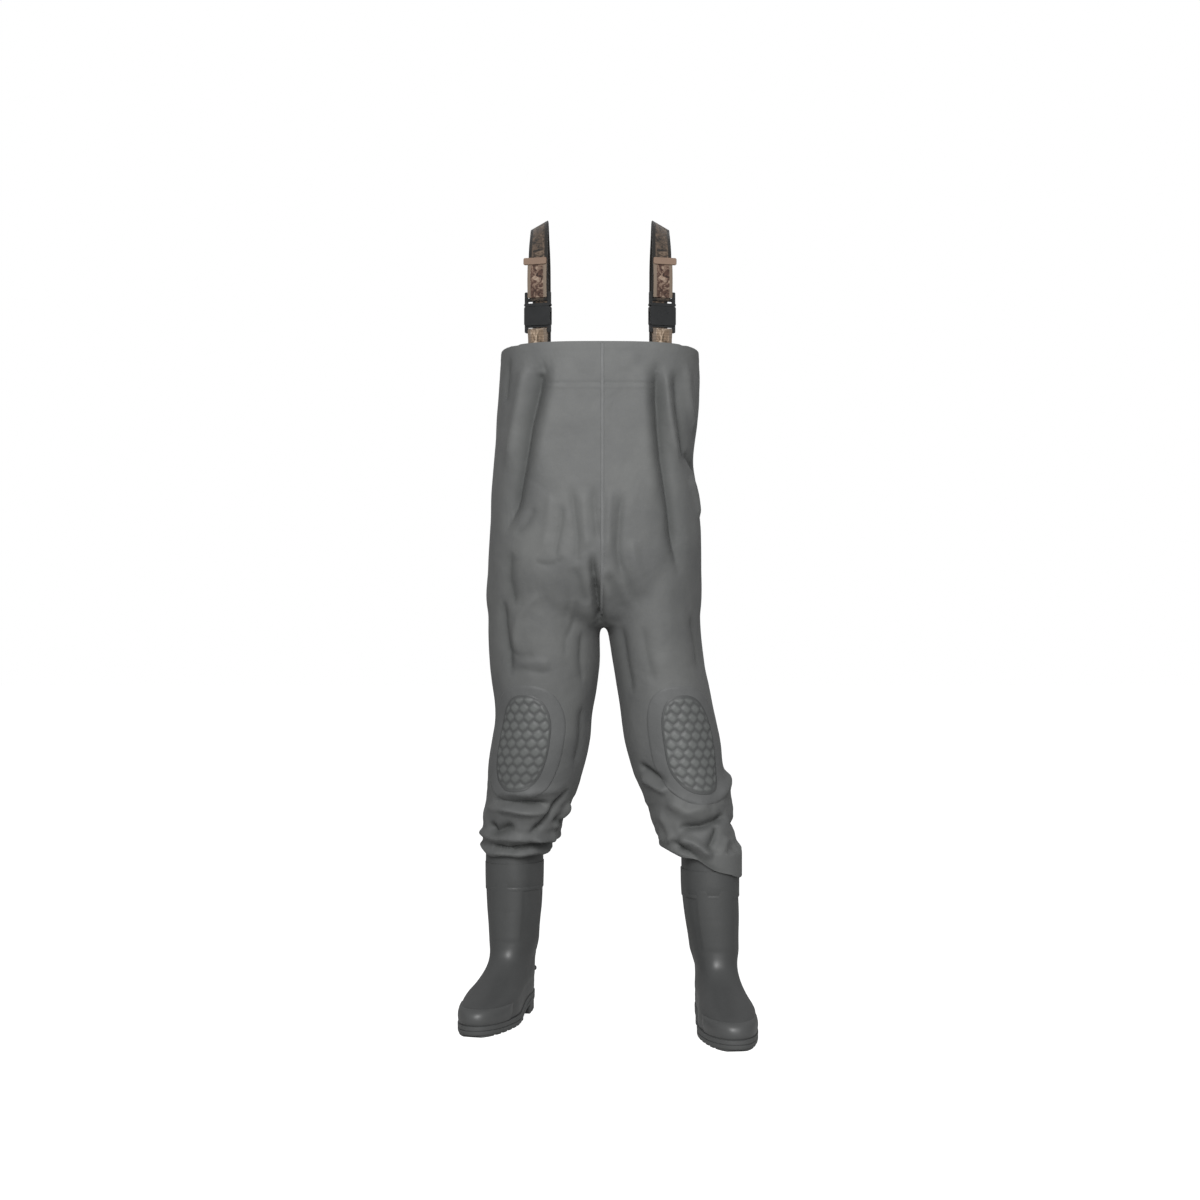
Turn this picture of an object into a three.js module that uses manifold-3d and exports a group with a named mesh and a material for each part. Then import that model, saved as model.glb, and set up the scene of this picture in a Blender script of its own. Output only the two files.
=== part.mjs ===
// Chest waders standing as worn: a bib and legs of welded coated cloth, a moulded boot welded to each
// leg, padded knee patches, and webbing braces with side release buckles.
// Millimetres. +Z up, the wearer faces -Y, and the wearer's left is +X.
// The cloth is cut where it folds, at the hips and the knees, so that each stretch can swing.
import * as THREE from "three";
import { mergeVertices } from "three/addons/utils/BufferGeometryUtils.js";
import Module from "manifold-3d";

const wasm = await Module();
wasm.setup();

// ---- Driving sizes ----

// Heights above the ground.
const bibTopHeight = 1188;
const bibBackHeight = bibTopHeight - 23;
const crotchHeight = 695;
const bootHeight = 268;
const legLength = crotchHeight - bootHeight;
const kneeHeight = bootHeight + 0.52 * legLength;
const braceHeight = bibTopHeight + 223; // middle of the webbing where it crosses the shoulder

// Cloth. The thickness stands for the coated cloth and the air in its small creases.
const clothWall = 2;
const bibHalfWidth = 176;
const bibHalfDepth = 128;
const hipHalfWidth = bibHalfWidth + 17;
const hipHalfDepth = 134;
const bibSquareness = 3; // exponent of the bib's outline: 2 is an ellipse
const seamX = 4; // plane of the centre seams
const hipCreaseSlope = 35; // degrees that the crease rises from the crotch to the hip bone
const hipCreaseWidth = 0.246 * legLength; // cloth that folds at the hip, across the crease
const kneeFoldAbove = 0.164 * legLength;
const kneeFoldBelow = 0.176 * legLength;

// Boots.
const soleLength = 300;
const soleHalfWidth = 53;
const heelHeight = 30;
const foreSoleHeight = 14;
const treadDepth = 5;
const heelBehindShaft = 62; // from the shaft's middle back to the end of the heel
const bootWall = 3;
const liningWall = 1.5;
const insoleThickness = 4;
const shaftHalfWidth = 50;
const shaftHalfDepth = 60;
const ankleHalfWidth = 41;
const cuffHeight = 46;
const cuffWall = 2;

// Braces.
const webbingWidth = 35;
const webbingThickness = 2;
const braceX = bibHalfWidth - 68;
const braceInset = 8.5; // webbing's middle inside the bib's outer face
const shoulderSlope = 40;
const tailLength = 72;
const tailStopHeight = 12;
const anchorDepth = 52; // webbing inside the bib, below its edge
const crossStrapHeight = bibBackHeight + 31;

// Buckles. Heights are above the bib's front edge.
const buckleWall = 2.5;
const buckleThickness = 12;
const barRadius = 2.3;
const socketBarRise = 20;
const socketBase = 29;
const socketTop = 62;
const plugPlate = 5;
const lockBarGap = 11; // between the plug's two bars
const prongThickness = 3.6;
const prongLength = 27;
const prongHeadWidth = 4.4;
const prongHeadLength = 13;
const tongueWidth = 8;

// Small parts.
const seamWidth = 9;
const seamThickness = 1.2;
const pocketHalfWidth = braceX - 24;
const pocketDepth = 66;
const kneePatchHalfWidth = 76;
const kneePatchHalfHeight = 0.244 * legLength;
const kneePadHalfWidth = 50;
const kneePadHalfHeight = 0.211 * legLength;
const patchThickness = 1.5;
const padThickness = 5;

// Clearances.
const gap = 0.3; // between faces that touch on the real object
const layerGap = 1.1; // between curved layers, whose flat facets cut their corners
const kneeGap = 3; // under a knee's layers, which span the cloth's uneven facets
const slideGap = 0.6; // around what slides

// How the legs stand: each row is the middle and the half sizes of the leg at one height, for hips
// of 386. A row's height is a share of the way between two of the heights above.
const legSpread = hipHalfWidth / 193;
const rightLeg = {
  side: -1,
  yaw: -13,
  rows: [
    { from: crotchHeight + 110, to: crotchHeight, share: 0, x: -98, y: 6, a: 98, b: 122 },
    { from: crotchHeight, to: kneeHeight, share: 0, x: -101, y: 6, a: 101, b: 108 },
    { from: crotchHeight, to: kneeHeight, share: 0.4, x: -99, y: 6, a: 98, b: 102 },
    { from: crotchHeight, to: kneeHeight, share: 0.8, x: -101, y: 4, a: 87, b: 95 },
    { from: kneeHeight, to: bootHeight, share: 0, x: -106, y: 3, a: 88, b: 92 },
    { from: kneeHeight, to: bootHeight, share: 0.22, x: -115, y: 6, a: 86, b: 88 },
    { from: kneeHeight, to: bootHeight, share: 0.42, x: -123, y: 10, a: 80, b: 82 },
    { from: kneeHeight, to: bootHeight, share: 0.62, x: -136, y: 16, a: 73, b: 78 },
    { from: kneeHeight, to: bootHeight, share: 0.82, x: -145, y: 22, a: 62, b: 71 },
    { from: kneeHeight, to: bootHeight, share: 1, x: -154, y: 25, a: 53, b: 63 },
  ],
};
const leftLeg = {
  side: 1,
  yaw: 5,
  rows: [
    { from: crotchHeight + 110, to: crotchHeight, share: 0, x: 92, y: 4, a: 88, b: 122 },
    { from: crotchHeight, to: kneeHeight, share: 0, x: 96, y: 1, a: 83, b: 114 },
    { from: crotchHeight, to: kneeHeight, share: 0.4, x: 107, y: -8, a: 82, b: 106 },
    { from: crotchHeight, to: kneeHeight, share: 0.8, x: 122, y: -20, a: 85, b: 96 },
    { from: kneeHeight, to: bootHeight, share: 0, x: 129, y: -26, a: 86, b: 92 },
    { from: kneeHeight, to: bootHeight, share: 0.22, x: 138, y: -34, a: 82, b: 88 },
    { from: kneeHeight, to: bootHeight, share: 0.42, x: 154, y: -43, a: 79, b: 83 },
    { from: kneeHeight, to: bootHeight, share: 0.62, x: 164, y: -53, a: 70, b: 77 },
    { from: kneeHeight, to: bootHeight, share: 0.82, x: 176, y: -64, a: 61, b: 70 },
    { from: kneeHeight, to: bootHeight, share: 1, x: 193, y: -72, a: 53, b: 63 },
  ],
};

// The bib from the crotch up to its edge: half sizes at shares of that height.
const bibRows = [
  { share: 0, x: -11, a: hipHalfWidth - 9, b: hipHalfDepth - 62 },
  { share: 0.04, x: -11, a: hipHalfWidth - 3, b: hipHalfDepth - 34 },
  { share: 0.1, x: -11, a: hipHalfWidth, b: hipHalfDepth - 16 },
  { share: 0.2, x: -10, a: hipHalfWidth - 2, b: hipHalfDepth },
  { share: 0.36, x: -8, a: hipHalfWidth - 5, b: hipHalfDepth },
  { share: 0.5, x: -10, a: bibHalfWidth + 7, b: bibHalfDepth + 5 },
  { share: 0.6, x: -11, a: bibHalfWidth + 2, b: bibHalfDepth + 3 },
  { share: 0.74, x: -5, a: bibHalfWidth + 4, b: bibHalfDepth + 2 },
  { share: 0.88, x: -1, a: bibHalfWidth + 3, b: bibHalfDepth + 1 },
  { share: 1, x: 0, a: bibHalfWidth, b: bibHalfDepth },
  { share: 1.04, x: 0, a: bibHalfWidth, b: bibHalfDepth },
];

const bibSegments = 40;
const legSegments = 32;
const bootSegments = 28;
const reach = 3000; // larger than the object, for cutting blocks

const { lerp, degToRad, clamp, smoothstep } = THREE.MathUtils;
const vector = (x, y, z) => new THREE.Vector3(x, y, z);

// ---- Materials ----

const finish = (color, roughness, metalness = 0) =>
  new THREE.MeshStandardMaterial({ color, roughness, metalness });
const materials = {
  cloth: finish(0x767876, 0.62),
  seam: finish(0x7c7e7c, 0.55),
  patch: finish(0x666866, 0.66),
  pad: finish(0x5f6160, 0.6),
  boot: finish(0x545655, 0.42),
  sole: finish(0x4c4e4d, 0.6),
  lining: finish(0x8d8f8c, 0.95),
  webbing: finish(0x5d5048, 0.85),
  buckle: finish(0x232423, 0.35),
};

// ---- Solids ----

// The volume that a mesh's faces enclose, negative when they face inwards.
function signedVolume(positions, index) {
  const corner = (i) => vector(...positions.slice(3 * i, 3 * i + 3));
  let volume = 0;
  for (let i = 0; i < index.length; i += 3) {
    const [a, b, c] = [corner(index[i]), corner(index[i + 1]), corner(index[i + 2])];
    volume += a.dot(b.cross(c)) / 6;
  }
  return volume;
}

// A closed solid through rings that have the same number of points, a multiple of four. With loop, the
// last ring joins the first, as in a washer; without it each end is closed by strips across the ring.
function loft(rings, loop = false) {
  const count = rings[0].length;
  const positions = rings.flat().flatMap((p) => [p.x, p.y, p.z]);
  let index = [];
  const spans = loop ? rings.length : rings.length - 1;
  for (let i = 0; i < spans; i++) {
    const near = i * count;
    const far = ((i + 1) % rings.length) * count;
    for (let j = 0; j < count; j++) {
      const k = (j + 1) % count;
      index.push(near + j, near + k, far + k, near + j, far + k, far + j);
    }
  }
  if (!loop) {
    for (const first of [0, (rings.length - 1) * count]) {
      for (let i = -count / 4; i < count / 4; i++) {
        const corners = [i, i + 1, count / 2 - i - 1, count / 2 - i].map((n) => (n + count) % count);
        if (first === 0) corners.reverse();
        const [a, b, c, d] = corners.map((n) => first + n);
        if (a !== b) index.push(a, b, c);
        if (a !== d && c !== d) index.push(a, c, d);
      }
    }
  }
  if (signedVolume(positions, index) < 0) index = index.reverse();
  const geometry = new THREE.BufferGeometry();
  geometry.setAttribute("position", new THREE.Float32BufferAttribute(positions, 3));
  geometry.setIndex(index);
  return geometry;
}

// A geometry as a manifold-3d solid, and back.
function solidOf(geometry) {
  const plain = geometry.clone();
  plain.deleteAttribute("normal");
  plain.deleteAttribute("uv");
  const merged = mergeVertices(plain, 1e-4);
  return new wasm.Manifold(
    new wasm.Mesh({
      numProp: 3,
      vertProperties: new Float32Array(merged.attributes.position.array),
      triVerts: new Uint32Array(merged.index.array),
    }),
  );
}

function geometryOf(solid) {
  const mesh = solid.getMesh();
  const geometry = new THREE.BufferGeometry();
  geometry.setAttribute("position", new THREE.BufferAttribute(mesh.vertProperties, 3));
  geometry.setIndex(new THREE.BufferAttribute(mesh.triVerts, 1));
  return geometry;
}

const box = (w, d, h, x, y, z) => solidOf(new THREE.BoxGeometry(w, d, h).translate(x, y, z));
const joined = (solids) => solids.reduce((a, b) => a.add(b));
const above = (solid, z) => solid.trimByPlane([0, 0, 1], z);
const below = (solid, z) => solid.trimByPlane([0, 0, -1], -z);

// A block with rounded upright edges, thick along Y, whose outline lies in XZ.
function slab(width, height, thickness, radius) {
  const [w, h] = [width / 2, height / 2];
  const outline = new THREE.Shape();
  outline.moveTo(-w + radius, -h);
  outline.lineTo(w - radius, -h);
  outline.absarc(w - radius, -h + radius, radius, -Math.PI / 2, 0);
  outline.lineTo(w, h - radius);
  outline.absarc(w - radius, h - radius, radius, 0, Math.PI / 2);
  outline.lineTo(-w + radius, h);
  outline.absarc(-w + radius, h - radius, radius, Math.PI / 2, Math.PI);
  outline.lineTo(-w, -h + radius);
  outline.absarc(-w + radius, -h + radius, radius, Math.PI, 1.5 * Math.PI);
  const block = new THREE.ExtrudeGeometry(outline, {
    depth: thickness,
    bevelEnabled: false,
    curveSegments: 3,
  });
  return block.translate(0, 0, -thickness / 2).rotateX(Math.PI / 2);
}

// A flat band along a path. Each point has a place and the direction of the band's width.
function ribbon(points, width, thickness) {
  const rings = points.map(({ at, across }, i) => {
    const before = points[Math.max(i - 1, 0)].at;
    const after = points[Math.min(i + 1, points.length - 1)].at;
    const along = after.clone().sub(before).normalize();
    const side = across.clone().addScaledVector(along, -across.dot(along)).normalize();
    const face = along.clone().cross(side);
    return [[-1, -1], [1, -1], [1, 1], [-1, 1]].map(([u, v]) =>
      at.clone()
        .addScaledVector(side, (u * width) / 2)
        .addScaledVector(face, (v * thickness) / 2),
    );
  });
  return loft(rings);
}

// ---- The cloth's shape ----

// A superellipse ring at one height, turned by an angle about its middle.
function outlineRing({ x, y, z, a, b, power, turn = 0 }, segments, inset = 0) {
  const ring = [];
  for (let i = 0; i < segments; i++) {
    const angle = (2 * Math.PI * i) / segments;
    ring.push(outlinePoint({ x, y, z, a, b, power, turn }, angle, -inset));
  }
  return ring;
}

// The point of a section's outline at an angle from +X, moved outwards by an offset.
function outlinePoint({ x, y, z, a, b, power, turn = 0 }, angle, offset = 0) {
  const [c, s] = [Math.cos(angle), Math.sin(angle)];
  const u = (a + offset) * Math.sign(c) * Math.abs(c) ** (2 / power);
  const v = (b + offset) * Math.sign(s) * Math.abs(s) ** (2 / power);
  const t = degToRad(turn);
  return vector(x + u * Math.cos(t) - v * Math.sin(t), y + u * Math.sin(t) + v * Math.cos(t), z);
}

// The row between two others, in a list sorted by height.
function between(rows, z) {
  const order = [...rows].sort((p, q) => p.z - q.z);
  const upper = order.find((row) => row.z >= z) ?? order.at(-1);
  const lower = order[Math.max(order.indexOf(upper) - 1, 0)];
  const share = upper.z === lower.z ? 0 : clamp((z - lower.z) / (upper.z - lower.z), 0, 1);
  const mixed = {};
  for (const key of Object.keys(lower)) mixed[key] = lerp(lower[key], upper[key], share);
  return { ...mixed, z };
}

const bibSections = bibRows.map(({ share, x, a, b }) => ({
  x,
  y: 0,
  z: lerp(crotchHeight, bibTopHeight, share),
  a,
  b,
  power: lerp(2.4, bibSquareness, clamp(share, 0, 1)),
  turn: 0,
}));

const legSections = (leg) =>
  leg.rows.map(({ from, to, share, x, y, a, b }) => {
    const z = lerp(from, to, share);
    const down = clamp((crotchHeight - z) / legLength, 0, 1);
    const width = a * lerp(legSpread, 1, down);
    return { x: x * legSpread, y, z, a: width, b, power: 2.1, turn: leg.yaw * down };
  });

const tube = (sections, segments, inset) =>
  solidOf(loft(sections.map((section) => outlineRing(section, segments, inset))));

// The bib's front face (face -1) or back face (face +1) above a point of its width.
function bibFaceY(x, z, face) {
  const { x: middle, a, b, power } = between(bibSections, z);
  const across = clamp(Math.abs(x - middle) / a, 0, 0.999);
  return face * b * (1 - across ** power) ** (1 / power);
}

// How far the bib's face turns away from the front at that point, in radians.
function bibFaceYaw(x, z, face) {
  const step = 5;
  const rise = bibFaceY(x + step, z, face) - bibFaceY(x - step, z, face);
  return Math.atan(rise / (2 * step));
}

// The cloth of the bib and both legs as one hollow skin, open at the bib and at the boots.
function clothSkin() {
  const run = (inset) => {
    const legs = [rightLeg, leftLeg].map((leg) => {
      const rows = legSections(leg);
      if (inset) rows.push({ ...rows.at(-1), z: bootHeight - 20 });
      return tube(rows, legSegments, inset);
    });
    const bib = bibSections.map((row) => ({ ...row }));
    if (inset) bib.push({ ...bib.at(-1), z: bib.at(-1).z + 20 });
    return joined([tube(bib, bibSegments, inset), ...legs]);
  };
  const skin = run(0).subtract(run(clothWall));
  return above(skin, bootHeight + 2 * gap);
}

// The upward normal of a leg's hip crease, and its distance along that normal.
function hipCrease(leg) {
  const slope = degToRad(hipCreaseSlope);
  const normal = [-leg.side * Math.sin(slope), 0, Math.cos(slope)];
  const start = normal[0] * seamX + normal[2] * crotchHeight;
  return { normal, start, end: start - hipCreaseWidth };
}

// One side of the cloth, cut at the folds: body panel, hip, thigh, knee and shin.
function sidePanels(skin, leg) {
  const { normal, start, end } = hipCrease(leg);
  const down = normal.map((n) => -n);
  const kneeTop = kneeHeight + kneeFoldAbove;
  const kneeBottom = kneeHeight - kneeFoldBelow;
  const half = skin.trimByPlane([leg.side, 0, 0], leg.side * seamX + gap / 2);
  const leg_ = half.trimByPlane(down, -(start - gap));
  const slope = Math.atan2(bibTopHeight - bibBackHeight, 2 * bibHalfDepth);
  const edge = [0, -Math.sin(slope), -Math.cos(slope)];
  const edgeAt = edge[1] * -bibHalfDepth + edge[2] * bibTopHeight;
  return {
    body_panel: half.trimByPlane(normal, start).trimByPlane(edge, edgeAt),
    hip_cloth: leg_.trimByPlane(normal, end),
    thigh_panel: above(leg_.trimByPlane(down, -(end - gap)), kneeTop + gap),
    knee_cloth: below(above(leg_, kneeBottom + gap), kneeTop),
    shin_panel: below(leg_, kneeBottom),
  };
}

// ---- Pieces on the cloth ----

// A strip over a centre seam, from below the bib's edge down to the crotch.
function centreSeam(face) {
  const top = (face < 0 ? bibTopHeight : bibBackHeight) - 6;
  const bottom = crotchHeight + 46;
  const folds = bibSections.map(({ z }) => z).filter((z) => z > bottom && z < top);
  const points = [bottom, ...folds, top].map((z) => {
    const y = bibFaceY(seamX, z, face) + face * (layerGap + seamThickness / 2);
    return { at: vector(seamX, y, z), across: vector(1, 0, 0) };
  });
  return ribbon(points, seamWidth, seamThickness);
}

// The pocket's cloth, welded inside the bib's front between the braces.
function innerPocket() {
  const columns = 14;
  const behind = clothWall + layerGap + patchThickness / 2;
  const points = [];
  for (let i = 0; i <= columns; i++) {
    const x = lerp(-pocketHalfWidth, pocketHalfWidth, i / columns);
    const z = bibTopHeight - 8 - pocketDepth / 2;
    points.push({ at: vector(x, bibFaceY(x, z, -1) + behind, z), across: vector(0, 0, 1) });
  }
  return ribbon(points, pocketDepth, patchThickness);
}

// A layer that lies on the leg round its knee, with a rounded outline, between two offsets.
function kneeLayer(leg, halfWidth, halfHeight, inner, outer) {
  const rows = legSections(leg);
  const facing = degToRad(-90 + leg.side * 20);
  const middle = kneeHeight - 2;
  const point = (reachShare, around, offset) => {
    const c = Math.cos(around);
    const s = Math.sin(around);
    const z = middle + halfHeight * reachShare * Math.sign(s) * Math.abs(s) ** 0.8;
    const row = between(rows, z);
    const turn = (halfWidth * reachShare * Math.sign(c) * Math.abs(c) ** 0.8) / row.a;
    return outlinePoint(row, facing + turn - degToRad(row.turn), offset);
  };
  const shares = [0.25, 0.5, 0.75, 1];
  const ring = (share, offset) =>
    Array.from({ length: 28 }, (_, i) => point(share, (2 * Math.PI * i) / 28, offset));
  const low = shares.map((share) => ring(share, inner));
  const high = shares.map((share) => ring(share, outer)).reverse();
  return loft([...low, ...high]);
}

// ---- Boots, in their own frame: shaft's middle over the origin, toes towards -Y ----

const toeY = heelBehindShaft - soleLength;

// Sections of the boot's outside: height, front and back ends, half width.
const bootRows = [
  { z: 0, front: toeY + 7, back: heelBehindShaft - 6, a: soleHalfWidth - 5 },
  { z: 14, front: toeY + 4, back: heelBehindShaft - 3, a: soleHalfWidth - 3 },
  { z: 34, front: toeY + 6, back: heelBehindShaft - 1, a: soleHalfWidth - 3 },
  { z: 46, front: toeY + 15, back: heelBehindShaft, a: soleHalfWidth - 5 },
  { z: 55, front: toeY + 34, back: heelBehindShaft, a: soleHalfWidth - 7 },
  { z: 64, front: toeY + 66, back: heelBehindShaft, a: soleHalfWidth - 8 },
  { z: 76, front: toeY + 106, back: heelBehindShaft - 1, a: soleHalfWidth - 10 },
  { z: 92, front: toeY + 142, back: heelBehindShaft - 2, a: ankleHalfWidth + 1 },
  { z: 114, front: -shaftHalfDepth - 12, back: heelBehindShaft - 4, a: ankleHalfWidth },
  { z: 145, front: -shaftHalfDepth - 1, back: shaftHalfDepth - 3, a: ankleHalfWidth + 2 },
  { z: 190, front: -shaftHalfDepth - 1, back: shaftHalfDepth - 1, a: shaftHalfWidth - 3 },
];

// Height of the foot's underside: a low forefoot, a rise at the arch and a toe that lifts a little.
function footRise(y) {
  const along = (y - toeY) / soleLength;
  const heel = (heelHeight - foreSoleHeight) * smoothstep(along, 0.42, 0.74);
  const toe = 5 * (1 - smoothstep(along, 0, 0.2));
  return foreSoleHeight + heel + toe;
}

// A ring of the boot. Low rings follow the foot's underside and its plan; high ones are level ovals.
function bootRing({ z, front, back, a }, side, inset = 0) {
  const low = 1 - smoothstep(z, 60, 130);
  const ring = [];
  for (let i = 0; i < bootSegments; i++) {
    const angle = (2 * Math.PI * i) / bootSegments;
    const along = Math.sin(angle);
    const y = (front + back) / 2 + ((back - front) / 2 - inset) * along;
    const share = (y - toeY) / soleLength;
    const narrow = 0.2 * low * smoothstep(share, 0.34, 0.62);
    const across = Math.cos(angle);
    const x = (a - inset) * Math.sign(across) * Math.abs(across) ** 0.86 * (1 - narrow);
    const inward = -side * 9 * low * (1 - smoothstep(share, 0, 0.5));
    ring.push(vector(x + inward, y, z + footRise(y) * (1 - smoothstep(z, 40, 150))));
  }
  return ring;
}

function bootBody(side, inset, floor) {
  const rows = bootRows.map((row) => ({ ...row }));
  rows.push({
    z: bootHeight,
    front: -shaftHalfDepth,
    back: shaftHalfDepth,
    a: shaftHalfWidth,
  });
  if (inset) {
    rows[0].z = floor;
    rows.at(-1).z += 10;
  }
  return solidOf(loft(rows.map((row) => bootRing(row, side, inset))));
}

const soleRow = { z: 0, front: toeY, back: heelBehindShaft, a: soleHalfWidth };

// A sheet of a row's plan between two heights above the foot's underside.
function footPlate(row, side, low, high, inset = 0) {
  return loft([low, high].map((z) => bootRing({ ...row, z }, side, inset)));
}

// The outsole: a plate under the foot, a solid heel and cross bars of tread, all ending on the ground.
function outsole(side) {
  const plate = solidOf(footPlate(soleRow, side, treadDepth - foreSoleHeight, -gap));
  const plan = bootRing(soleRow, side, 2);
  const prism = solidOf(loft([0, heelHeight].map((z) => plan.map((p) => vector(p.x, p.y, z)))));
  const ceiling = solidOf(footPlate(soleRow, side, -2, 60, -6));
  const bars = [];
  const wide = 2 * soleHalfWidth + 20;
  const heelFront = toeY + 0.71 * soleLength;
  const heelBlock = box(wide, reach, heelHeight, 0, heelFront + reach / 2, heelHeight / 2);
  const grooves = [0, 1, 2].map((i) =>
    box(wide, 5, 2 * treadDepth, 0, heelFront + 17 + i * 19, 0));
  bars.push(heelBlock.subtract(joined(grooves)));
  for (let i = 0; i < 8; i++) {
    bars.push(box(wide, 12, heelHeight, 0, toeY + 24 + i * 19, heelHeight / 2));
  }
  const tread = joined(bars).intersect(prism).subtract(ceiling);
  const groove = box(7, 0.5 * soleLength, 2 * treadDepth, 0, toeY + 0.3 * soleLength, 0);
  return plate.add(tread).subtract(groove);
}

// The band moulded round the toe, over the upper.
function toeCap(side) {
  const rows = bootRows.slice(1, 4);
  const rings = (offset) => rows.map((row) => bootRing(row, side, -offset));
  const band = loft([...rings(layerGap + 2.2), ...rings(layerGap).reverse()], true);
  return solidOf(band).trimByPlane([0, -1, 0], -(toeY + 0.3 * soleLength));
}

// The kick-off ledge at the back of the heel.
function heelSpur() {
  const ledge = slab(34, 9, 11, 4);
  return ledge.translate(0, heelBehindShaft + 4.5 + layerGap + 1.5, heelHeight + 34);
}

function bootPieces(leg) {
  const { side } = leg;
  const upper = below(bootBody(side, 0, 0).subtract(bootBody(side, bootWall, bootWall)), bootHeight);
  const liningOut = bootBody(side, bootWall + gap, bootWall + gap);
  const liningIn = bootBody(side, bootWall + gap + liningWall, bootWall + gap + liningWall);
  const lining = below(liningOut.subtract(liningIn), bootHeight - 6);
  const insoleLow = bootWall + liningWall + 2 * gap;
  const insole = footPlate(bootRows[0], side, insoleLow, insoleLow + insoleThickness, insoleLow + 1);
  const cuffRing = (offset, z) =>
    outlineRing({ x: 0, y: 0, z, a: shaftHalfWidth + offset, b: shaftHalfDepth + offset, power: 2.15 },
      bootSegments);
  const [low, high] = [bootHeight - cuffHeight, bootHeight];
  const cuff = loft([
    cuffRing(layerGap + cuffWall, low),
    cuffRing(layerGap + cuffWall, high),
    cuffRing(layerGap, high),
    cuffRing(layerGap, low),
  ], true);
  return {
    boot_upper: [geometryOf(upper), materials.boot],
    boot_lining: [geometryOf(lining), materials.lining],
    insole: [insole, materials.lining],
    outsole: [geometryOf(outsole(side)), materials.sole],
    toe_cap: [geometryOf(toeCap(side)), materials.boot],
    heel_spur: [heelSpur(), materials.sole],
    boot_cuff: [cuff, materials.seam],
  };
}

// ---- Buckles, in their own frame: the bib's front edge at z 0, the webbing's middle plane at y 0 ----

const frameWidth = webbingWidth + 2 + 4 * buckleWall;
const slotWidth = webbingWidth + 2;
const wrapRadius = barRadius + gap + webbingThickness / 2 + 0.2;
const lockBarRise = socketTop + gap + plugPlate + 2 * wrapRadius - barRadius + 0.6;
const lockTop = lockBarRise + lockBarGap + barRadius + 1;

const bar = (z) =>
  solidOf(new THREE.CylinderGeometry(barRadius, barRadius, slotWidth + 2, 12)
    .rotateZ(Math.PI / 2).translate(0, 0, z));

// The socket: a flat case open at the top, windows at its sides, and a bar below for the webbing.
function buckleSocket() {
  const height = socketTop - socketBase;
  const middle = (socketTop + socketBase) / 2;
  const shell = solidOf(slab(frameWidth, height, buckleThickness, 3).translate(0, 0, middle));
  const cavityWidth = frameWidth - 2 * buckleWall;
  const cavityDepth = buckleThickness - 2 * buckleWall;
  const cavity = box(cavityWidth, cavityDepth, height, 0, 0, middle + 2 * buckleWall);
  const window = box(frameWidth + 10, cavityDepth, prongHeadLength + 3, 0, 0, socketTop - 18);
  const frameBottom = socketBarRise - barRadius - 1;
  const frameHeight = socketBase - frameBottom + 3;
  const frame = solidOf(
    slab(frameWidth, frameHeight, buckleThickness / 2, 2).translate(0, 0, frameBottom + frameHeight / 2));
  const slot = box(slotWidth, 20, socketBase - frameBottom - 2, 0, 0, (socketBase + frameBottom) / 2 - 2);
  const sides = shell.subtract(cavity).subtract(window);
  return geometryOf(sides.add(frame.subtract(slot)).add(bar(socketBarRise)));
}

// The plug: a plate that closes the socket's mouth, a tongue into it, and a two bar webbing lock.
function bucklePlug() {
  const base = socketTop + gap;
  const plate = solidOf(slab(frameWidth, plugPlate, buckleThickness, 2).translate(0, 0, base + plugPlate / 2));
  const frameHeight = lockTop - base;
  const frame = solidOf(
    slab(frameWidth, frameHeight, buckleThickness / 2, 2).translate(0, 0, base + frameHeight / 2));
  const opening = box(slotWidth, 20, frameHeight, 0, 0, base + plugPlate + frameHeight / 2);
  const tongueLength = prongLength - 3;
  const tongue = box(tongueWidth, 5, tongueLength + 1, 0, 0, base + 0.5 - tongueLength / 2);
  return geometryOf(joined([
    frame.subtract(opening),
    plate,
    tongue,
    bar(lockBarRise),
    bar(lockBarRise + lockBarGap),
  ]));
}

// A sprung prong: an arm that hangs from the plug's plate, with its head in the socket's window.
function buckleProng(side) {
  const root = socketTop - 0.5;
  const outer = frameWidth / 2 - buckleWall - slideGap;
  const armOuter = outer - prongHeadWidth + prongThickness / 2;
  const outline = new THREE.Shape();
  outline.moveTo(armOuter - prongThickness, root);
  outline.lineTo(armOuter - prongThickness, root - prongLength + 2);
  outline.lineTo(armOuter - prongThickness + 1.5, root - prongLength);
  outline.lineTo(outer - 2, root - prongLength + 1.5);
  outline.quadraticCurveTo(outer, root - prongLength + 5, outer, root - prongLength + prongHeadLength);
  outline.lineTo(armOuter, root - prongLength + prongHeadLength + 2.5);
  outline.lineTo(armOuter, root);
  outline.closePath();
  const arm = new THREE.ExtrudeGeometry(outline, { depth: 5, bevelEnabled: false, curveSegments: 4 });
  arm.translate(0, 0, -2.5).rotateX(Math.PI / 2);
  return side > 0 ? arm : arm.rotateZ(Math.PI);
}

// The short webbing that rises from inside the bib, turns over the socket's bar and goes back down.
function frontStrap() {
  const points = [];
  const across = vector(1, 0, 0);
  const tuck = webbingThickness / 2 + 0.4;
  const push = (y, z) => points.push({ at: vector(0, y, z), across });
  push(-tuck, -anchorDepth);
  push(-tuck, 4);
  push(-wrapRadius, socketBarRise - 3);
  for (let i = 0; i <= 8; i++) {
    const angle = Math.PI * (1 - i / 8);
    push(wrapRadius * Math.cos(angle), socketBarRise + wrapRadius * Math.sin(angle));
  }
  push(wrapRadius, socketBarRise - 3);
  push(tuck, 4);
  push(tuck, -anchorDepth);
  return ribbon(points, webbingWidth, webbingThickness);
}

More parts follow.
